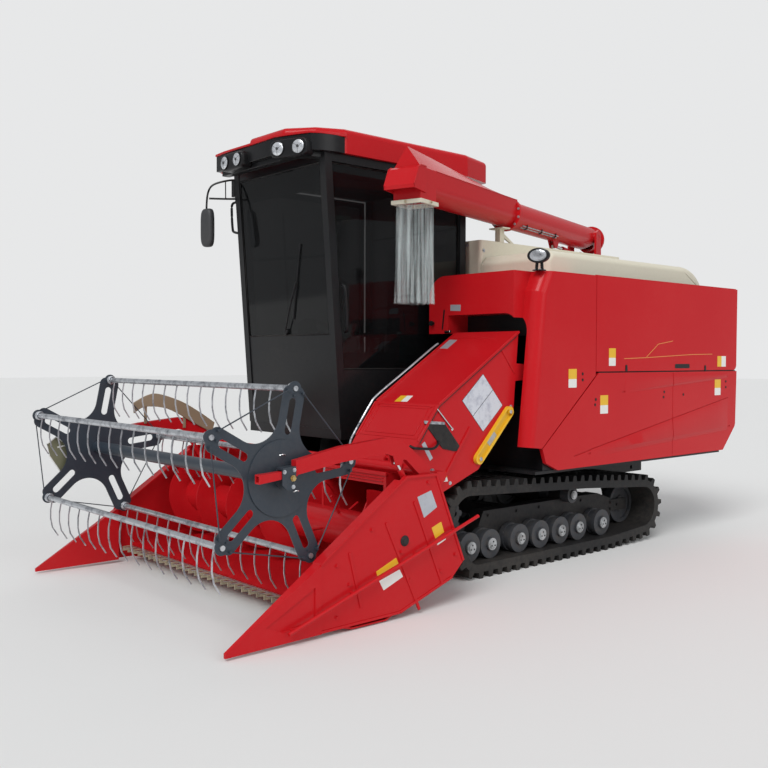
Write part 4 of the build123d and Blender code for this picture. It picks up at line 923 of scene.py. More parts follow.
def makeWorkLamp(kit):
    x, y, _ = kit["middle"]
    turn = Matrix.Rotation(math.radians(kit["facing"]), 3, "Z")

    def atLamp(a, depth, b):
        return Vector(kit["middle"]) + turn @ Vector((a, depth, b))

    def shell(steps):
        rings = []
        for grow, depth in steps:
            spots = [ovalSpot(t, kit["wide"] * grow, kit["tall"] * grow) for t in roundTurn(36)]
            rings.append([atLamp(a, depth, b) for a, b in spots])
        build = bmesh.new()
        addSkin(build, rings)
        return build

    build = shell(kit["case"])
    for side in (-0.016, 0.016):
        addTube(build, [atLamp(side, 0.006, -0.040), atLamp(side * 1.25, 0.006, -0.100)], 0.0105, 10)
    addBox(build, (x - 0.034, y - 0.028, kit["base"] - 0.007), (x + 0.034, y + 0.032, kit["base"]))
    case = finishPiece("workLampCase", "chassis", "black_paint", build)
    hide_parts("work_lamps")
    finishPiece("workLampLens", "chassis", "lamp_glass", shell(kit["lens"]), ribbedLens, angle=60)
    growPiece("workLampBolts", "chassis", "cylinder_chrome", boltHeads, [(x + a, y + b, kit["base"])
        for a, b in kit["bolts"]], boltSize(0.006, 0.004, 0.009, 0.0015), facing=(0, 0, 1))


makeRoofFascia(lampKit)
makeRoofLamps(lampKit)
makeWorkLamp(workLampKit)
print("lamps made")


# blank plates, stripes and small fittings on the left side

sideKit = {"skin": 0.980, "joint": (1.586, 1.594),
    "plates": (("door", "side_door", (((0.73, 1.39), (0.813, 1.518)),)),
        ("cowl", "chassis", (((0.257, 1.24), (0.348, 1.37)),)),
        ("panel", "chassis", (((0.629, 1.045), (0.723, 1.178)), ((2.232, 1.14), (2.327, 1.272))))),
    "squarePlate": ((2.27, 1.378), (2.408, 1.467)),
    "stripes": (((0.921, 1.443), (1.208, 1.451), (1.376, 1.556), (1.582, 1.583)),
        ((1.208, 1.451), (1.861, 1.478), (2.186, 1.483))),
    "pressings": (
        {"from": 0.94, "to": 2.44, "highLine": (1.330, 0.0), "lowLine": (1.139, 0.0649), "rise": 0.008, "step": 0.012},
        {"from": 0.52, "to": 2.45, "highLine": (0.707, 0.1663), "lowLine": (0.741, 0.0534), "rise": 0.011,
            "step": 0.030}),
    "screws": ((0.418, 1.335), (0.419, 1.292), (0.575, 1.15), (0.568, 1.112), (1.466, 1.185), (1.458, 1.145),
        (1.744, 1.158), (2.414, 1.253), (2.415, 1.205)),
    "latches": ((0.949, 1.374), (2.073, 1.368)), "recess": ((1.616, 1.368), (1.832, 1.402)),
    "gasket": ((0.9525, 0.618, 1.3405), (0.9725, 2.585, 1.3475)),
    "roll": ((0.966, 0.582, 2.0385), (0.966, 2.588, 2.0385)),
    "doorFrame": {"inner": 0.938, "outer": 0.9525, "ends": (0.70, 2.44), "edges": (1.40, 1.96), "half": 0.02}}


def makePressings(kit):
    # shallow wedges pressed into the lower panel, each falling away below its crease and parted at the joint
    face = kit["skin"]
    build = bmesh.new()
    for pressing in kit["pressings"]:
        near, far = pressing["from"], pressing["to"]
        for first, last in ((near, kit["joint"][0]), (kit["joint"][1], far)):
            rings = []
            for k in range(13):
                y = first + (last - first) * k / 12
                grown = min(1.0, (y - near) / 0.45, (far - y) / 0.12)
                high, low = (base + y * slope for base, slope in (pressing["highLine"], pressing["lowLine"]))
                rise = pressing["rise"] * max(grown, 0.04)
                under = low - pressing["step"]
                rings.append([(face - 0.003, y, high), (face + 0.0004, y, high), (face + rise, y, low + 0.004),
                    (face + rise * 0.8, y, low), (face + 0.0004, y, under), (face - 0.003, y, under)])
            addSkin(build, rings)
    finishPiece("panelPressings", "chassis", "red_paint", build)


def makeSidePlates(kit):
    under, over = kit["skin"] - 0.004, kit["skin"] + 0.0011
    for name, body, boxes in kit["plates"]:
        halves = [low[1] + (high[1] - low[1]) * 0.46 for low, high in boxes]
        upper = [box2((low[0], half), high) for (low, high), half in zip(boxes, halves)]
        lower = [box2(low, (high[0], half)) for (low, high), half in zip(boxes, halves)]
        plateRow(name + "PlateUpper", body, "yellow_paint", upper, under, over, onSide, 0.004)
        plateRow(name + "PlateLower", body, "cream_paint", lower, under, over, onSide, 0.004, material=plateWhite)
    low, high = kit["squarePlate"]
    half = low[0] + (high[0] - low[0]) * 0.48
    plateRow("squarePlateLeft", "side_door", "yellow_paint", [box2(low, (half, high[1]))], under, over, onSide, 0.004)
    plateRow("squarePlateRight", "side_door", "cream_paint", [box2((half, low[1]), high)], under, over, onSide, 0.004,
        material=plateWhite)


def makeSideFittings(kit):
    face = kit["skin"]
    stripes = [band(a, b, 0.0022) for run in kit["stripes"] for a, b in zip(run, run[1:])]
    prismPiece("doorStripe", "side_door", "yellow_paint", stripes, face - 0.002, face + 0.0006, onSide,
        material=stripeGold)
    growPiece("panelScrews", "chassis", "black_paint", boltHeads, [(face - 0.0002, y, z) for y, z in kit["screws"]],
        boltSize(0.0085, 0.0016, 0.011, 0.0008, 20))
    build = bmesh.new()
    for y, z in kit["latches"]:
        outline = [(y - 0.014, z - 0.022), (y + 0.014, z - 0.022), (y + 0.010, z + 0.022), (y - 0.010, z + 0.022)]
        addPatch(build, outline, face - 0.004, face + 0.004, onSide, 0.004)
    # painted shade: a flat black patch stands in for the shade inside the door handle's recess
    addPatch(build, box2(*kit["recess"]), face - 0.003, face + 0.0016, onSide, 0.013)
    finishPiece("latchesAndRecessShade", "side_door", "black_paint", build, bevel=0.001)
    # rubber strip in the gap between door and lower panel, the lip along the top and the door's inner frame
    boxPiece("panelGasket", "chassis", "track_rubber", [kit["gasket"]])
    tubePiece("doorRoll", "side_door", "red_paint", [kit["roll"]], 0.0045, smooth=False)
    inner, outer, half = (kit["doorFrame"][key] for key in ("inner", "outer", "half"))
    (y0, y1), (z0, z1) = kit["doorFrame"]["ends"], kit["doorFrame"]["edges"]
    uprights = [((inner, y - half, z0), (outer, y + half, z1 + half)) for y in (y0, y1)]
    rails = [((inner, y0 - half, z - half), (outer, y1 + half, z + half)) for z in (z0, z1)]
    boxPiece("doorFrame", "side_door", "frame_paint", uprights + rails, bevel=0.003)


makePressings(sideKit)
makeSidePlates(sideKit)
makeSideFittings(sideKit)


# front of the left cowl: lever slot, knob, plate and the hinge over the mouth

cowlKit = {"face": -0.175, "slot": ((0.170, 1.650), (0.182, 1.648), (0.202, 1.792), (0.188, 1.794)),
    "knob": ((0.012, -0.004), (0.012, 0.012), (0.019, 0.018), (0.019, 0.030), (0.0, 0.034)),
    "plate": ((0.257, 1.783), (0.357, 1.778), (0.359, 1.822), (0.258, 1.826))}


def makeCowlFittings(kit):
    face = kit["face"]
    build = bmesh.new()
    addPatch(build, kit["slot"], face - 0.0012, face + 0.003, onFront, 0.005)
    addTurned(build, kit["knob"], (0.084, face, 1.697), (0, -1, 0), 18)
    finishPiece("cowlKnob", "chassis", "black_paint", build)
    plateRow("cowlPlate", "chassis", "galvanized", [kit["plate"]], face - 0.0015, face + 0.002, onFront, 0.004,
        material=plateSilver)
    build = bmesh.new()
    addTurned(build, [(0.011, -0.026), (0.011, 0.026)], (0.236, face - 0.004, 1.633), (1, 0, 0), 14)
    finishPiece("mouthHinge", "chassis", "cylinder_chrome", build, bevel=0.001)


makeCowlFittings(cowlKit)


# plates, rims and frames of the feeder's lid

lidKit = {"top": (-0.131, 1.627), "fold": (-0.896, 1.153), "foot": (-1.069, 0.931), "edges": (0.861, 0.274),
    "plates": (("lidPlateTop", "galvanized", plateSilver,
            ((0.292, -0.318), (0.292, -0.217), (0.372, -0.222), (0.372, -0.322))),
        ("lidPlateYellow", "yellow_paint", lockYellow,
            ((0.448, -0.888), (0.448, -0.829), (0.506, -0.827), (0.508, -0.886))),
        ("lidPlateWhite", "cream_paint", plateWhite,
            ((0.508, -0.886), (0.506, -0.827), (0.560, -0.825), (0.566, -0.884)))),
    "frames": ((0.004, -0.903, -1.054, 0.30), (0.003, -0.916, -1.040, 0.335)),
    "seam": ((-0.15, 1.598), (-0.880, 1.146), (-1.050, 0.926)),
    "pipe": ((0.262, -0.30, 1.545), (0.250, -0.34, 1.520), (0.250, -0.60, 1.358), (0.250, -0.86, 1.197),
        (0.250, -0.93, 1.130), (0.250, -1.06, 0.955), (0.256, -1.10, 0.900), (0.290, -1.14, 0.850))}


def onFace(start, end, lean, rise, a, b, h):
    # a across, b the y of a place on a sloping face, h above it
    z = start[1] + (b - start[0]) * (start[1] - end[1]) / (start[0] - end[0])
    return (a, b - h * lean, z + h * rise)


def onLid(a, b, h):
    return onFace(lidKit["top"], lidKit["fold"], 0.5267, 0.850, a, b, h)


def onFoot(a, b, h):
    return onFace(lidKit["fold"], lidKit["foot"], 0.789, 0.615, a, b, h)


def makeLid(kit):
    for name, slot, material, outline in kit["plates"]:
        plateRow(name, "header", slot, [outline], -0.002, 0.0012, onLid, 0.004, material=material)
    # two pressed lines near the top and the folded rims
    build = bmesh.new()
    for b in (-0.208, -0.199):
        addPrism(build, box2((0.30, b - 0.003), (0.72, b + 0.003)), -0.002, 0.0028, onLid)
    for x in kit["edges"]:
        addPrism(build, box2((x - 0.006, -0.890), (x + 0.006, -0.140)), -0.004, 0.007, onLid)
        addPrism(build, box2((x - 0.006, -1.066), (x + 0.006, -0.897)), -0.004, 0.007, onFoot)
    finishPiece("lidRims", "header", "red_paint", build, bevel=0.002)
    outlines = []
    for width, start, end, side in kit["frames"]:
        across = (side, 1.135 - side)
        outlines += [box2((x - width, end), (x + width, start)) for x in across]
        outlines += [box2((across[0], b - width), (across[1], b + width)) for b in (start, end)]
    prismPiece("footFrame", "header", "red_paint", outlines, -0.002, 0.003, onFoot, bevel=0.0012)
    growPiece("footScrews", "header", "red_paint", boltHeads, [onFoot(x, -0.909, 0.0) for x in (0.320, 0.815)],
        boltSize(0.007, 0.004, 0.011, 0.0015), facing=(0, -0.789, 0.615))
    # dark seam under the lid's overhang and the pale pipe down its far edge
    seam = [(0.858, y, z) for y, z in kit["seam"]]
    tubePiece("lidSeam", "header", "track_rubber", zip(seam, seam[1:]), 0.0065, 6, smooth=False)
    tubePiece("lidPipe", "header", "galvanized", [kit["pipe"]], 0.0075, 10)


makeLid(lidKit)


# left wall of the feeder: diamond plates, rubber flap, link, bent pipe and small plates

wallKit = {"skin": 0.855, "gap": 0.0022,
    "diamond": ((-0.672, 1.172), (-0.480, 1.338), (-0.291, 1.131), (-0.477, 0.967)),
    "flap": ((-1.018, 1.052), (-0.835, 1.035), (-0.688, 0.873), (-0.735, 0.852), (-0.850, 0.876)),
    "strip": ((-1.016, 1.060), (-0.838, 1.043), (-0.836, 1.027), (-1.010, 1.040)),
    "link": ((-0.905, 1.128), (-0.768, 0.996)),
    "bentPipe": ((-0.004, -1.125, 0.910), (0.020, -1.105, 0.897), (0.024, -1.02, 0.888), (0.024, -0.950, 0.886),
        (0.018, -0.905, 0.910), (-0.004, -0.890, 0.930)),
    "plates": (("slantPlate", "galvanized", plateSilver,
            ((-1.030, 0.914), (-1.004, 0.930), (-0.934, 0.824), (-0.958, 0.808))),
        ("wallPlateYellow", "yellow_paint", lockYellow,
            ((-0.871, 0.733), (-0.812, 0.726), (-0.808, 0.694), (-0.860, 0.700))),
        ("wallPlateWhite", "cream_paint", plateWhite,
            ((-0.860, 0.700), (-0.808, 0.694), (-0.800, 0.668), (-0.850, 0.668)))),
    "barPlate": ((-0.448, 0.894), (-0.380, 0.962), (-0.352, 0.934), (-0.420, 0.866)),
    "ribs": (((-0.304, 1.505), (-0.170, 1.345), 0.007), ((-1.145, 0.760), (-0.985, 0.560), 0.009),
        ((-1.190, 0.700), (-1.190, 0.290), 0.008)),
    "bolts": ((-1.17, 0.66), (-1.17, 0.50), (-1.17, 0.34), (-0.78, 0.655), (-0.205, 1.12)),
    "pivot": (0.889, -0.02, 1.35), "pins": ((0.883, -0.239, 1.087), (0.883, -0.530, 0.792)),
    "button": ((0.010, 0.0), (0.010, 0.006), (0.0, 0.009)),
    "bigCap": ((0.030, 0.0), (0.030, 0.010), (0.020, 0.016), (0.0, 0.016)),
    "pinCap": ((0.014, 0.0), (0.014, 0.008), (0.0, 0.012))}


def makeDiamond(kit):
    # two bright plates parted by a thin gap, on a black backing
    face = kit["skin"]
    left, top, right, low = (Vector(corner) for corner in kit["diamond"])
    gap = (right - top).normalized() * kit["gap"]
    topRight, lowLeft = (top + right) / 2, (left + low) / 2
    plateRow("diamondPlates", "header", "galvanized", [[left, top, topRight - gap, lowLeft - gap],
        [topRight + gap, right, low, lowLeft + gap]], face - 0.002, face + 0.0016, onSide, 0.003, material=plateFilm)
    aside, up = Vector((0.004, 0)), Vector((0, 0.004))
    backing = [left - aside, top + up, right + aside, low - up]
    plateRow("diamondBacking", "header", "black_paint", [backing], face - 0.002, face + 0.0008, onSide, 0.003)


def makeFeederWall(kit):
    face = kit["skin"]
    makeDiamond(kit)
    plateRow("rubberFlap", "header", "track_rubber", [kit["flap"]], face - 0.002, face + 0.006, onSide, 0.014,
        bevel=0.0015)
    plateRow("flapStrip", "header", "galvanized", [kit["strip"]], face + 0.004, face + 0.009, onSide, 0.003)
    build = bmesh.new()
    addTube(build, [(face + 0.008, y, z) for y, z in kit["link"]], 0.0048, 8)
    for y, z in kit["link"]:
        addTurned(build, kit["button"], (face, y, z), (1, 0, 0), 14)
    finishPiece("flapLink", "header", "cylinder_chrome", build)
    tubePiece("bentPipe", "header", "black_paint", [[(face + out, y, z) for out, y, z in kit["bentPipe"]]], 0.0085, 10)
    for name, slot, material, outline in kit["plates"]:
        plateRow(name, "header", slot, [outline], face - 0.002, face + 0.0014, onSide, 0.003, material=material)
    plateRow("barPlate", "header", "galvanized", [kit["barPlate"]], 0.8625, 0.8645, onSide, 0.003,
        material=plateSilver)
    # raised ribs of the wall and the fold down its front
    prismPiece("wallRibs", "header", "red_paint", [band(*rib) for rib in kit["ribs"]], face - 0.003, face + 0.006,
        onSide, bevel=0.002)
    growPiece("wallBolts", "header", "galvanized", boltHeads, [(face, y, z) for y, z in kit["bolts"]],
        boltSize(0.008, 0.006, 0.012, 0.0018))
    build = bmesh.new()
    addTurned(build, kit["bigCap"], kit["pivot"], (1, 0, 0), 24)
    for pin in kit["pins"]:
        addTurned(build, kit["pinCap"], pin, (1, 0, 0), 6)
    finishPiece("pivotCaps", "header", "galvanized", build)


makeFeederWall(wallKit)
print("plates and feeder dressed")


# divider's plates, bolts and the linkage in its skid

dividerKit = {"skin": 1.192,
    "plates": (("Silver", "galvanized", plateSilver, (((-1.384, 0.664), (-1.276, 0.692), (-1.229, 0.592),
            (-1.332, 0.541)),)),
        ("Yellow", "yellow_paint", lockYellow, (((-1.271, 0.477), (-1.195, 0.504), (-1.171, 0.441), (-1.241, 0.412)),
            ((-1.688, 0.290), (-1.543, 0.345), (-1.526, 0.310), (-1.680, 0.264)))),
        ("White", "cream_paint", plateWhite, (((-1.225, 0.392), (-1.157, 0.415), (-1.157, 0.396), (-1.225, 0.371)),
            ((-1.667, 0.235), (-1.517, 0.276), (-1.492, 0.232), (-1.634, 0.179))))),
    "bolts": ((-1.404, 0.348), (-1.874, 0.250), (-1.442, 0.208), (-1.505, 0.371), (-1.96, 0.36), (-1.72, 0.52),
        (-1.30, 0.74), (-1.08, 0.30), (-1.96, 0.09), (-1.20, 0.22)),
    "boss": ((0.030, -0.004), (0.030, 0.005), (0.020, 0.009), (0.020, 0.014), (0.0, 0.014)),
    "lever": ((-1.86, 0.018), (-1.86, 0.032), (-1.74, 0.046), (-1.62, 0.036), (-1.62, 0.018), (-1.74, 0.028)),
    "pin": ((0.014, -0.030), (0.014, 0.012), (0.0, 0.012))}


def makeDividerFittings(kit):
    face = kit["skin"]
    for name, slot, material, outlines in kit["plates"]:
        plateRow("dividerPlate" + name, "header", slot, outlines, face - 0.002, face + 0.0012, onSide, 0.004,
            material=material)
    for side, name in ((1, "Left"), (-1, "Right")):
        growPiece("dividerBolts" + name, "header", "red_paint", boltHeads,
            [(side * face, y, z) for y, z in kit["bolts"]], boltSize(0.009, 0.007, 0.014, 0.002), facing=(side, 0, 0))
        build = bmesh.new()
        addTurned(build, kit["boss"], (side * face, -1.480, 0.430), (side, 0, 0), 24)
        addPrism(build, kit["lever"], *sorted((side * 1.150, side * 1.176)), onSide)
        addTurned(build, kit["pin"], (side * 1.176, -1.745, 0.040), (side, 0, 0), 16)
        finishPiece("skidLinkage" + name, "header", "frame_paint", build, bevel=0.001)


makeDividerFittings(dividerKit)


# reel: brass bolts, clamp and spider bolts, clips, bar rings and the guards at its far end

reelKit = {"axis": (-2.239, 0.831), "radius": 0.463, "arms": 5, "first": -11.65, "hub": 1.082, "boltAt": 0.428,
    "shaftBolt": ((0.017, 0.0), (0.017, 0.004), (0.0125, 0.004), (0.0125, 0.013), (0.0, 0.015)),
    "clamps": ((-0.038, 0.042), (0.022, 0.048), (0.016, -0.036)),
    "clip": ((-0.006, -0.018, 0), (0.006, -0.016, 0), (0.010, 0, 0.004), (0.006, 0.016, 0), (-0.006, 0.018, 0)),
    "hexagon": ((-2.568, 0.867), (-2.507, 0.910), (-2.439, 0.860), (-2.394, 0.700), (-2.471, 0.662),
        (-2.553, 0.785)),
    "chainTop": ((-1.958, 1.120), (-1.850, 1.172), (-1.759, 1.180), (-1.580, 1.122), (-1.430, 1.040),
        (-1.300, 0.955)),
    "chainFoot": ((-1.320, 0.880), (-1.420, 0.930), (-1.507, 0.976), (-1.689, 1.070), (-1.864, 1.090),
        (-1.952, 1.046)),
    "brackets": ((-1.86, 1.00), (-1.55, 0.955))}


def reelSpot(angle, reach):
    y, z = reelKit["axis"]
    return y - reach * math.sin(angle), z + reach * math.cos(angle)


def makeReelFittings(kit):
    y, z = kit["axis"]
    build = bmesh.new()
    for side in (1, -1):
        addTurned(build, kit["shaftBolt"], (side * 1.172, y + 0.015, z + 0.007), (side, 0, 0), 6)
    finishPiece("shaftBolt", "reel_arms", "guard_gold", build, brassBolt)
    small = boltSize(0.007, 0.006, 0.011, 0.0016)
    places, ways = onSides([(1.174, y + dy, z + dz) for dy, dz in kit["clamps"]])
    growPiece("clampBolts", "reel_arms", "galvanized", boltHeads, places, small, facing=ways)
    arms = [math.radians(kit["first"] + 72 * k) for k in range(kit["arms"])]
    places, ways = onSides([(kit["hub"], *reelSpot(angle, kit["boltAt"])) for angle in arms])
    growPiece("spiderBolts", "reel", "slate_paint", boltHeads, places, small, facing=ways)
    clips = []
    for side in (1, -1):
        for angle in (0.06, 2.25):
            spot = Vector((side * 1.088, y + 0.118 * math.sin(angle), z + 0.118 * math.cos(angle)))
            clips.append([spot + Vector((side * a, b, c)) for a, b, c in kit["clip"]])
    tubePiece("hubClips", "reel", "cylinder_chrome", clips, 0.0036)
    for number, angle in enumerate(arms, 1):
        growPiece(f"barRings{number}", f"tine_bar_{number}", "galvanized", ringRow,
            [(x, *reelSpot(angle, kit["radius"])) for x in (-1.066, -1.050, 1.050, 1.066)], ringSize(0.0235, 0.0055))


def makeReelGuards(kit):
    # hexagon guard on the far arm's end and the pale cover of its drive chain
    plateRow("hexGuard", "reel_arms", "cream_paint", [kit["hexagon"]], -1.1255, -1.1215, onSide, 0.012,
        material=guardOlive)
    build = bmesh.new()
    addTube(build, [(-1.1215, a, b) for a, b in kit["hexagon"]], 0.0045, 8, closed=True)
    addTube(build, [(-1.1235, -2.500, 0.840), (-1.1235, -2.405, 0.855)], 0.006, 8)
    finishPiece("hexRim", "reel_arms", "cream_paint", build, plateWhite)
    build = bmesh.new()
    outline = [(p.x, p.y) for key in ("chainTop", "chainFoot")
        for p in smoothPath([(*spot, 0) for spot in kit[key]], 5)]
    addPrism(build, outline, -1.1225, -1.1105, onSide)
    for y, z in kit["brackets"]:
        addBox(build, (-1.1245, y - 0.012, z - 0.03), (-1.1185, y + 0.012, z + 0.11))
    finishPiece("chainCover", "reel_arms", "guard_gold", build, coverTan, bevel=0.003, segments=3)


makeReelFittings(reelKit)
makeReelGuards(reelKit)
print("reel dressed")


# crawler: caps on the rollers, bolts on wheels and frames

trackKit = {"rollers": (-0.504, -0.301, -0.002, 0.225, 0.452, 0.665, 0.956), "height": 0.195,
    "carrier": (0.640, 0.430), "sprocket": (-0.585, 0.400),
    "frameBolts": ((1.23, 0.255), (1.23, 0.305), (1.32, 0.28), (0.62, 0.41), (0.66, 0.41), (-0.20, 0.36),
        (0.10, 0.36), (0.35, 0.36), (0.85, 0.36))}


def makeTrackFittings(kit):
    places, ways = onSides([(0.785, y, kit["height"]) for y in kit["rollers"]])
    growPiece("rollerCaps", "chassis", "galvanized", boltHeads, places, boltSize(0.030, 0.006, 0.041, 0.005, 24),
        facing=ways, material=capSteel)
    places, ways = onSides([(0.795, y + 0.018 * math.cos(t), kit["height"] + 0.018 * math.sin(t))
        for y in kit["rollers"] for t in (math.pi / 2 + 2.094 * k for k in range(3))])
    growPiece("capStuds", "chassis", "frame_paint", boltHeads, places, boltSize(0.0048, 0.003, 0.0065, 0.001),
        facing=ways)
    places, ways = onSides([(0.747, *kit["carrier"])])
    growPiece("carrierCaps", "chassis", "galvanized", boltHeads, places, boltSize(0.024, 0.005, 0.032, 0.004, 24),
        facing=ways, material=capSteel)
    y, z = kit["sprocket"]
    places, ways = onSides([(0.630, y + 0.055 * math.cos(t), z + 0.055 * math.sin(t)) for t in roundTurn(8, 0.2)]
        + [(0.655, *spot) for spot in kit["frameBolts"]])
    growPiece("frameBolts", "chassis", "frame_paint", boltHeads, places, boltSize(0.010, 0.008, 0.015, 0.002),
        facing=ways)


makeTrackFittings(trackKit)
print("crawlers dressed")


# cream covers: rivets along the crest, bolts, ribs, tank lids and their handles

coverKit = {"crest": (0.738, 0.44, 2.176), "rivets": 20, "rivetPitch": 0.082,
    "frontBolts": (-0.92, -0.70, -0.48, -0.26, -0.04), "sideBolts": (0.40, 0.75, 1.10, 1.45, 1.80, 2.08),
    "boltRows": (0.72, 1.50, 2.31), "sideRibs": (0.58, 0.93, 1.28, 1.63, 1.98), "rearRibs": (-0.86, -0.14),
    "ribHalf": 0.028, "ribFoot": 0.80, "ribTop": 2.24, "lids": ((0.40, 1.18), (1.24, 2.06)),
    "handle": ((-0.07, 2.360), (-0.07, 2.385), (0.0, 2.392), (0.07, 2.385), (0.07, 2.360))}


def makeCoverFittings(kit):
    x, y, z = kit["crest"]
    growPiece("coverRivets", "chassis", "galvanized", boltHeads, [(x, y + kit["rivetPitch"] * k, z)
        for k in range(kit["rivets"])], boltSize(0.0055, 0.0025, 0.008, 0.0008, 12), facing=(0.7, 0, 0.7))
    left = [(0.1005, 0.345, z) for z in (2.08, 2.17, 2.27)]
    front = [(x, 0.3095, 2.32) for x in kit["frontBolts"]]
    right = [(-1.0005, y, z) for y in kit["sideBolts"] for z in kit["boltRows"]]
    growPiece("tankBolts", "chassis", "galvanized", boltHeads, left + front + right,
        boltSize(0.009, 0.006, 0.014, 0.002),
        facing=[(1, 0, 0)] * len(left) + [(0, -1, 0)] * len(front) + [(-1, 0, 0)] * len(right))
    # stiffening ribs pressed up the tank's right and rear walls
    build = bmesh.new()
    half, foot, top = kit["ribHalf"], kit["ribFoot"], kit["ribTop"]
    for y in kit["sideRibs"]:
        addPrism(build, box2((y - half, foot), (y + half, top)), -1.006, -0.998, onSide)
    for x in kit["rearRibs"]:
        addPrism(build, box2((x - half, foot), (x + half, top)), 2.148, 2.156, onFront)
    finishPiece("tankRibs", "chassis", "cream_paint", build, bevel=0.004, segments=3)
    boxPiece("tankLids", "chassis", "cream_paint", [((-0.94, low, 2.346), (-0.16, high, 2.362))
        for low, high in kit["lids"]], bevel=0.006, segments=3)
    build = bmesh.new()
    for middle in (0.79, 1.65):
        addTube(build, smoothPath([(-0.32, middle + y, z) for y, z in kit["handle"]]), 0.006, 8)
        for shift in (-0.225, 0.0, 0.225):
            addTurned(build, [(0.009, -0.05), (0.009, 0.05)], (-0.945, middle + shift, 2.360), (0, 1, 0), 12)
    finishPiece("lidHandles", "chassis", "black_paint", build)


makeCoverFittings(coverKit)


# domed rear end of the cream cover

crownKit = {"start": (2.085, 2.2203), "bulge": (2.330, 2.222), "end": (2.4312, 2.051), "right": 0.121,
    "left": 0.7502, "rim": 0.048}


def makeCoverCrown(kit):
    start, bulge, end = (Vector(kit[key]) for key in ("start", "bulge", "end"))
    rings = []
    for t in (k / 16 for k in range(17)):
        spot = start * (1 - t) ** 2 + bulge * 2 * t * (1 - t) + end * t ** 2
        under = start.lerp(end, t) - Vector((0.012, 0.022))
        ring = [(kit["right"], *under), (kit["right"], *spot)]
        for turn in (math.pi / 16 * step for step in range(9)):
            reach = kit["left"] - kit["rim"] * (1 - math.sin(turn))
            drop = kit["rim"] * (1 - math.cos(turn))
            ring.append((reach, spot.x - drop * t * 0.6, spot.y - drop))
        ring.append((kit["left"], under.x, min(under.y, spot.y - kit["rim"] - 0.004)))
        rings.append(ring)
    build = bmesh.new()
    addSkin(build, rings)
    finishPiece("coverCrown", "chassis", "cream_paint", build, angle=50)


makeCoverCrown(crownKit)


# unloading boom: flange bolts, steel lines on clips, the cover's pull, hood rolls and ring bolts

boomKit = {"riser": (-0.428, 2.330), "height": 2.585, "bearing": 15.9, "collar": 1.740,
    "clip": ((-0.080, -0.052), (-0.103, -0.062), (-0.094, -0.084), (-0.066, -0.090)),
    "pull": ((-0.188, 0.05, -0.05), (-0.212, 0.05, -0.045), (-0.214, 0.05, 0.045), (-0.188, 0.05, 0.05)),
    "hood": ((3.195, 0.112), (3.268, 0.110), (3.297, 0.093), (3.351, -0.022), (3.347, -0.046)),
    "spout": (0.434, -0.697, 2.468), "spoutTurns": (-1.29, 0.277, 1.85, 3.42)}


def boomSpot(s, up=0.0, across=0.0):
    turn = math.radians(boomKit["bearing"])
    x, y = math.sin(turn), -math.cos(turn)
    riser = boomKit["riser"]
    return Vector((riser[0] + x * s + y * across, riser[1] + y * s - x * across, boomKit["height"] + up))


def makeBoomBolts(kit):
    along = boomSpot(1) - boomSpot(0)
    flanges = ((kit["collar"] + 0.020, along, 0.122), (kit["collar"] - 0.020, -along, 0.122), (-0.185, -along, 0.118))
    places = [boomSpot(s, reach * math.sin(t), reach * math.cos(t)) for s, _, reach in flanges
        for t in roundTurn(12, 0.26)]
    growPiece("boomBolts", "boom", "galvanized", boltHeads, places, boltSize(0.0075, 0.007, 0.0105, 0.002),
        facing=[way for _, way, _ in flanges for _ in range(12)])


def makeBoomFittings(kit):
    tubePiece("boomLines", "boom", "galvanized", [[boomSpot(s, up, across) for s in (0.85, 1.60)]
        for up, across in ((-0.092, -0.062), (-0.080, -0.080))], 0.0055, smooth=False)
    tubePiece("lineClips", "boom", "black_paint", [[boomSpot(s, up, across) for up, across in kit["clip"]]
        for s in (0.92, 1.22, 1.52)], 0.006, 6, smooth=False)
    tubePiece("boomPull", "boom", "black_paint", [[boomSpot(*spot) for spot in kit["pull"]]], 0.006)
    build = bmesh.new()
    for side in (1, -1):
        addTube(build, [boomSpot(s, up, side * 0.1145) for s, up in kit["hood"]], 0.0035, 6)
        addTube(build, [boomSpot(s, up, side * 0.1045) for s, up in ((1.80, 0.100), (3.05, 0.104))], 0.003, 6)
    finishPiece("hoodRolls", "boom", "red_paint", build)
    ways = [Vector((math.cos(t), math.sin(t), 0)) for t in kit["spoutTurns"]]
    growPiece("curtainBolts", "boom", "galvanized", boltHeads, [Vector(kit["spout"]) + way * 0.1255 for way in ways],
        boltSize(0.007, 0.006, 0.010, 0.002), facing=ways, material=guardGold)
    x, y = kit["riser"]
    growPiece("turretBolts", "boom_turret", "galvanized", boltHeads, [(x + 0.150 * math.cos(t), y + 0.150 * math.sin(t),
        2.375) for t in roundTurn(16)], boltSize(0.008, 0.007, 0.012, 0.002), facing=(0, 0, 1))


makeBoomBolts(boomKit)
makeBoomFittings(boomKit)
print("boom and tank dressed")


# engine screen's wire mesh and catch

screenKit = {"x": -1.0995, "low": (-0.33, 0.745), "high": (0.18, 1.265), "pitch": 0.016, "wire": 0.0018,
    "knob": ((0.016, 0.0), (0.016, 0.006), (0.010, 0.012), (0.0, 0.012)), "knobAt": (-1.108, -0.352, 1.01),
    "pull": ((-1.110, -0.352, 1.06), (-1.128, -0.352, 1.07), (-1.128, -0.352, 1.15), (-1.110, -0.352, 1.16))}


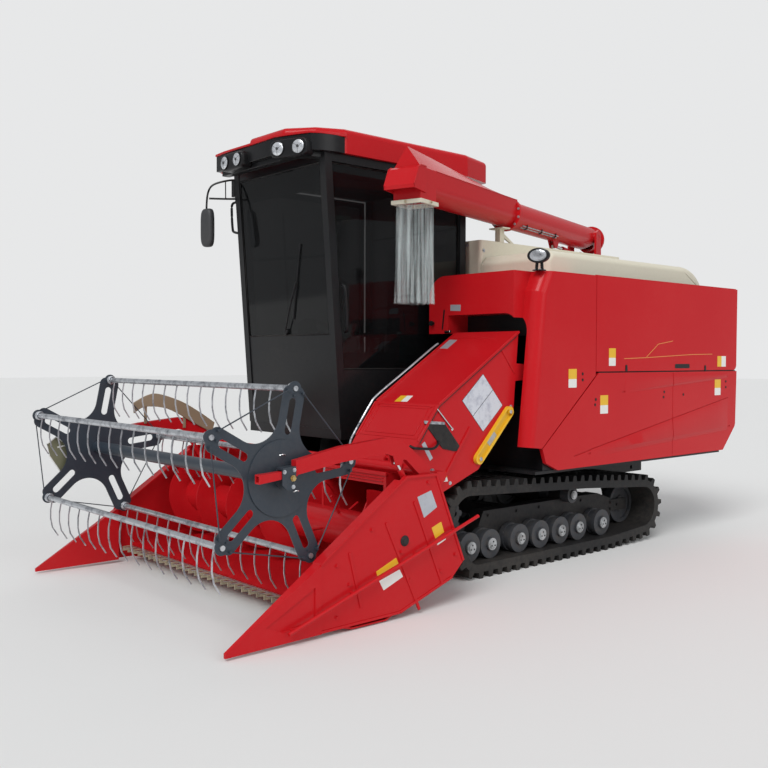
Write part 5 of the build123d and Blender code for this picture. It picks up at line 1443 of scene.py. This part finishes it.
def makeScreenMesh(kit):
    (y0, z0), (y1, z1) = kit["low"], kit["high"]
    x, pitch, wire = kit["x"], kit["pitch"], kit["wire"]
    uprights = [(x, y0 + pitch * (k + 0.5), (z0 + z1) / 2) for k in range(int((y1 - y0) / pitch))]
    levels = [(x + 0.0012, (y0 + y1) / 2, z0 + pitch * (k + 0.5)) for k in range(int((z1 - z0) / pitch))]
    growPiece("screenUprights", "engine_screen", "black_paint", barRow, uprights, barSize(wire, wire, z1 - z0))
    growPiece("screenLevels", "engine_screen", "black_paint", barRow, levels, barSize(wire, wire, y1 - y0),
        along=(0, 1, 0))
    build = bmesh.new()
    addTurned(build, kit["knob"], kit["knobAt"], (-1, 0, 0), 20)
    addTube(build, smoothPath(kit["pull"]), 0.005, 8)
    finishPiece("screenCatch", "engine_screen", "cylinder_chrome", build)


stepKit = {"treads": ((-0.76, 0.455), (-0.70, 0.645))}


def makeStepGrip(kit):
    bars = [(-1.010, y + 0.018 + 0.024 * k, z + 0.0015) for y, z in kit["treads"] for k in range(9)]
    growPiece("stepGrip", "chassis", "galvanized", barRow, bars, barSize(0.004, 0.004, 0.19), facing=(0, 0, 1),
        along=(1, 0, 0))


# rear: frames round the two panels, their bolts and pulls, and the tail lamps

rearKit = {"y": 2.560, "panels": (((0.17, 1.46), (0.51, 1.96)), ((0.55, 1.46), (0.89, 1.96))), "rim": 0.010,
    "pull": ((2.556, 1.56), (2.585, 1.565), (2.590, 1.62), (2.585, 1.675), (2.556, 1.68))}


def makeRear(kit):
    y, rim = kit["y"], kit["rim"]
    outlines = []
    for (x0, z0), (x1, z1) in kit["panels"]:
        outlines += [box2((x0 - rim, z - rim), (x1 + rim, z + rim)) for z in (z0, z1)]
        outlines += [box2((x - rim, z0 + rim + 0.0001), (x + rim, z1 - rim - 0.0001)) for x in (x0, x1)]
    prismPiece("rearFrames", "chassis", "frame_paint", outlines, y - 0.002, y + 0.006, onFront, bevel=0.002)
    spots = [(x, y + 0.006, z) for x in (0.17, 0.34, 0.51, 0.55, 0.72, 0.89) for z in (1.46, 1.96)]
    growPiece("rearBolts", "chassis", "galvanized", boltHeads, spots, boltSize(0.008, 0.005, 0.012, 0.0015),
        facing=(0, 1, 0))
    plateRow("tailLamps", "chassis", "lamp_glass", [box2((x - 0.035, 1.405), (x + 0.035, 1.440))
        for x in (0.20, 0.86)], y - 0.002, y + 0.018, onFront, 0.008, material=tailRed, bevel=0.003, segments=3)
    tubePiece("rearPulls", "chassis", "black_paint", [[(x, *spot) for spot in kit["pull"]] for x in (0.25, 0.81)],
        0.007)


makeScreenMesh(screenKit)
makeStepGrip(stepKit)
makeRear(rearKit)


# header: stiffening ribs behind the auger, bolts of its bars, lips round the mouth and lugs on the beam

headerKit = {"ribs": (-1.05, -0.80, -0.55, -0.30, -0.05, 0.20, 0.93, 1.08), "barBolts": 30, "boltPitch": 0.0762,
    "lips": (((0.30, -1.336, 0.708), (0.84, -1.328, 0.716)), ((0.30, -1.336, 0.726), (0.84, -1.328, 0.734)),
        ((0.262, -1.338, 0.745), (0.872, -1.322, 0.768))),
    "lug": ((-1.205, 0.788), (-1.155, 0.788), (-1.160, 0.838), (-1.180, 0.852), (-1.200, 0.838))}


def makeHeaderFittings(kit):
    growPiece("troughRibs", "header", "red_paint", barRow, [(x, -1.2035, 0.700) for x in kit["ribs"]],
        barSize(0.016, 0.008, 0.150), facing=(0, -1, 0))
    growPiece("barBolts", "header", "worn_steel", boltHeads, [((k - 14.5) * kit["boltPitch"], -1.935, 0.102)
        for k in range(kit["barBolts"])], boltSize(0.0075, 0.006, 0.011, 0.002), facing=(0, 0, 1))
    growPiece("beamBolts", "header", "galvanized", boltHeads, [(-1.10 + 0.2 * k, -1.178, 0.790) for k in range(12)],
        boltSize(0.009, 0.007, 0.014, 0.002), facing=(0, 0, 1))
    boxPiece("mouthLips", "header", "red_paint", kit["lips"], bevel=0.002)
    build = bmesh.new()
    for x in (0.36, 0.40, 0.70, 0.74):
        addPrism(build, kit["lug"], x - 0.004, x + 0.004, onSide)
    for x in (0.38, 0.72):
        addTube(build, [(x - 0.034, -1.180, 0.832), (x + 0.034, -1.180, 0.832)], 0.008, 10)
    finishPiece("beamLugs", "header", "red_paint", build, bevel=0.0015)


makeHeaderFittings(headerKit)
print("header and rear dressed")


# floor, light and camera

stageKit = {"floorColour": (0.82, 0.82, 0.81), "floorHalf": 60.0, "skyColour": (0.95, 0.97, 1.0),
    "worldStrength": 0.42, "backColour": (0.80, 0.805, 0.81),
    "suns": (("keySun", 1.8, 30.0, (0.45, -0.80, 0.85)), ("fillSun", 0.55, 40.0, (0.95, 0.15, 0.45)),
        ("rimSun", 0.25, 40.0, (-0.6, 0.7, 0.8)))}


def makeFloor(kit):
    mesh = bpy.data.meshes.new("floor")
    half = kit["floorHalf"]
    mesh.from_pydata([(-half, -half, 0), (half, -half, 0), (half, half, 0), (-half, half, 0)], [], [(0, 1, 2, 3)])
    floor = bpy.data.objects.new("floor", mesh)
    bpy.context.scene.collection.objects.link(floor)
    material, _, shader = newMaterial("paleFloor")
    shader.inputs["Base Color"].default_value = (*kit["floorColour"], 1)
    shader.inputs["Roughness"].default_value = 0.9
    floor.data.materials.append(material)


def makeWorld(kit):
    # soft light from all round, with a plain colour behind the machine and behind its glass
    world = bpy.data.worlds.new("studio")
    bpy.context.scene.world = world
    world.use_nodes = True
    tree = world.node_tree
    light = tree.nodes["Background"]
    light.inputs["Color"].default_value = (*kit["skyColour"], 1)
    light.inputs["Strength"].default_value = kit["worldStrength"]
    seen = addNode(tree, "ShaderNodeBackground", {"Color": (*kit["backColour"], 1)})
    rays = addNode(tree, "ShaderNodeLightPath").outputs
    either = addNode(tree, "ShaderNodeMath", {0: rays["Is Camera Ray"], 1: rays["Is Transmission Ray"]},
        operation="MAXIMUM")
    mix = addNode(tree, "ShaderNodeMixShader", {0: either.outputs[0], 1: light.outputs[0], 2: seen.outputs[0]})
    link(tree, mix.outputs[0], tree.nodes["World Output"].inputs["Surface"])


def makeSuns(kit):
    for name, strength, spread, way in kit["suns"]:
        data = bpy.data.lights.new(name, "SUN")
        data.energy = strength
        data.angle = math.radians(spread)
        lamp = bpy.data.objects.new(name, data)
        lamp.rotation_euler = (-Vector(way)).to_track_quat("-Z", "Y").to_euler()
        bpy.context.scene.collection.objects.link(lamp)


cameraKit = {"lens": 43.356, "place": (4.9383, -4.9413, 1.4417), "yaw": 0.84776, "pitch": -0.0280, "roll": 0.003}


def makeCamera(kit):
    data = bpy.data.cameras.new("viewCamera")
    data.lens = kit["lens"]
    data.sensor_width = 36.0
    data.clip_end = 300
    camera = bpy.data.objects.new("viewCamera", data)
    yaw, pitch = kit["yaw"], kit["pitch"]
    camera.location = kit["place"]
    look = Vector((-math.sin(yaw) * math.cos(pitch), math.cos(yaw) * math.cos(pitch), math.sin(pitch)))
    turn = look.to_track_quat("-Z", "Y").to_matrix() @ Matrix.Rotation(kit["roll"], 3, "Z")
    camera.rotation_euler = turn.to_euler()
    bpy.context.scene.collection.objects.link(camera)
    bpy.context.scene.camera = camera


makeFloor(stageKit)
makeWorld(stageKit)
makeSuns(stageKit)
makeCamera(cameraKit)
bpy.context.scene.view_settings.view_transform = "Standard"
print("stage ready")

bpy.context.view_layer.update()
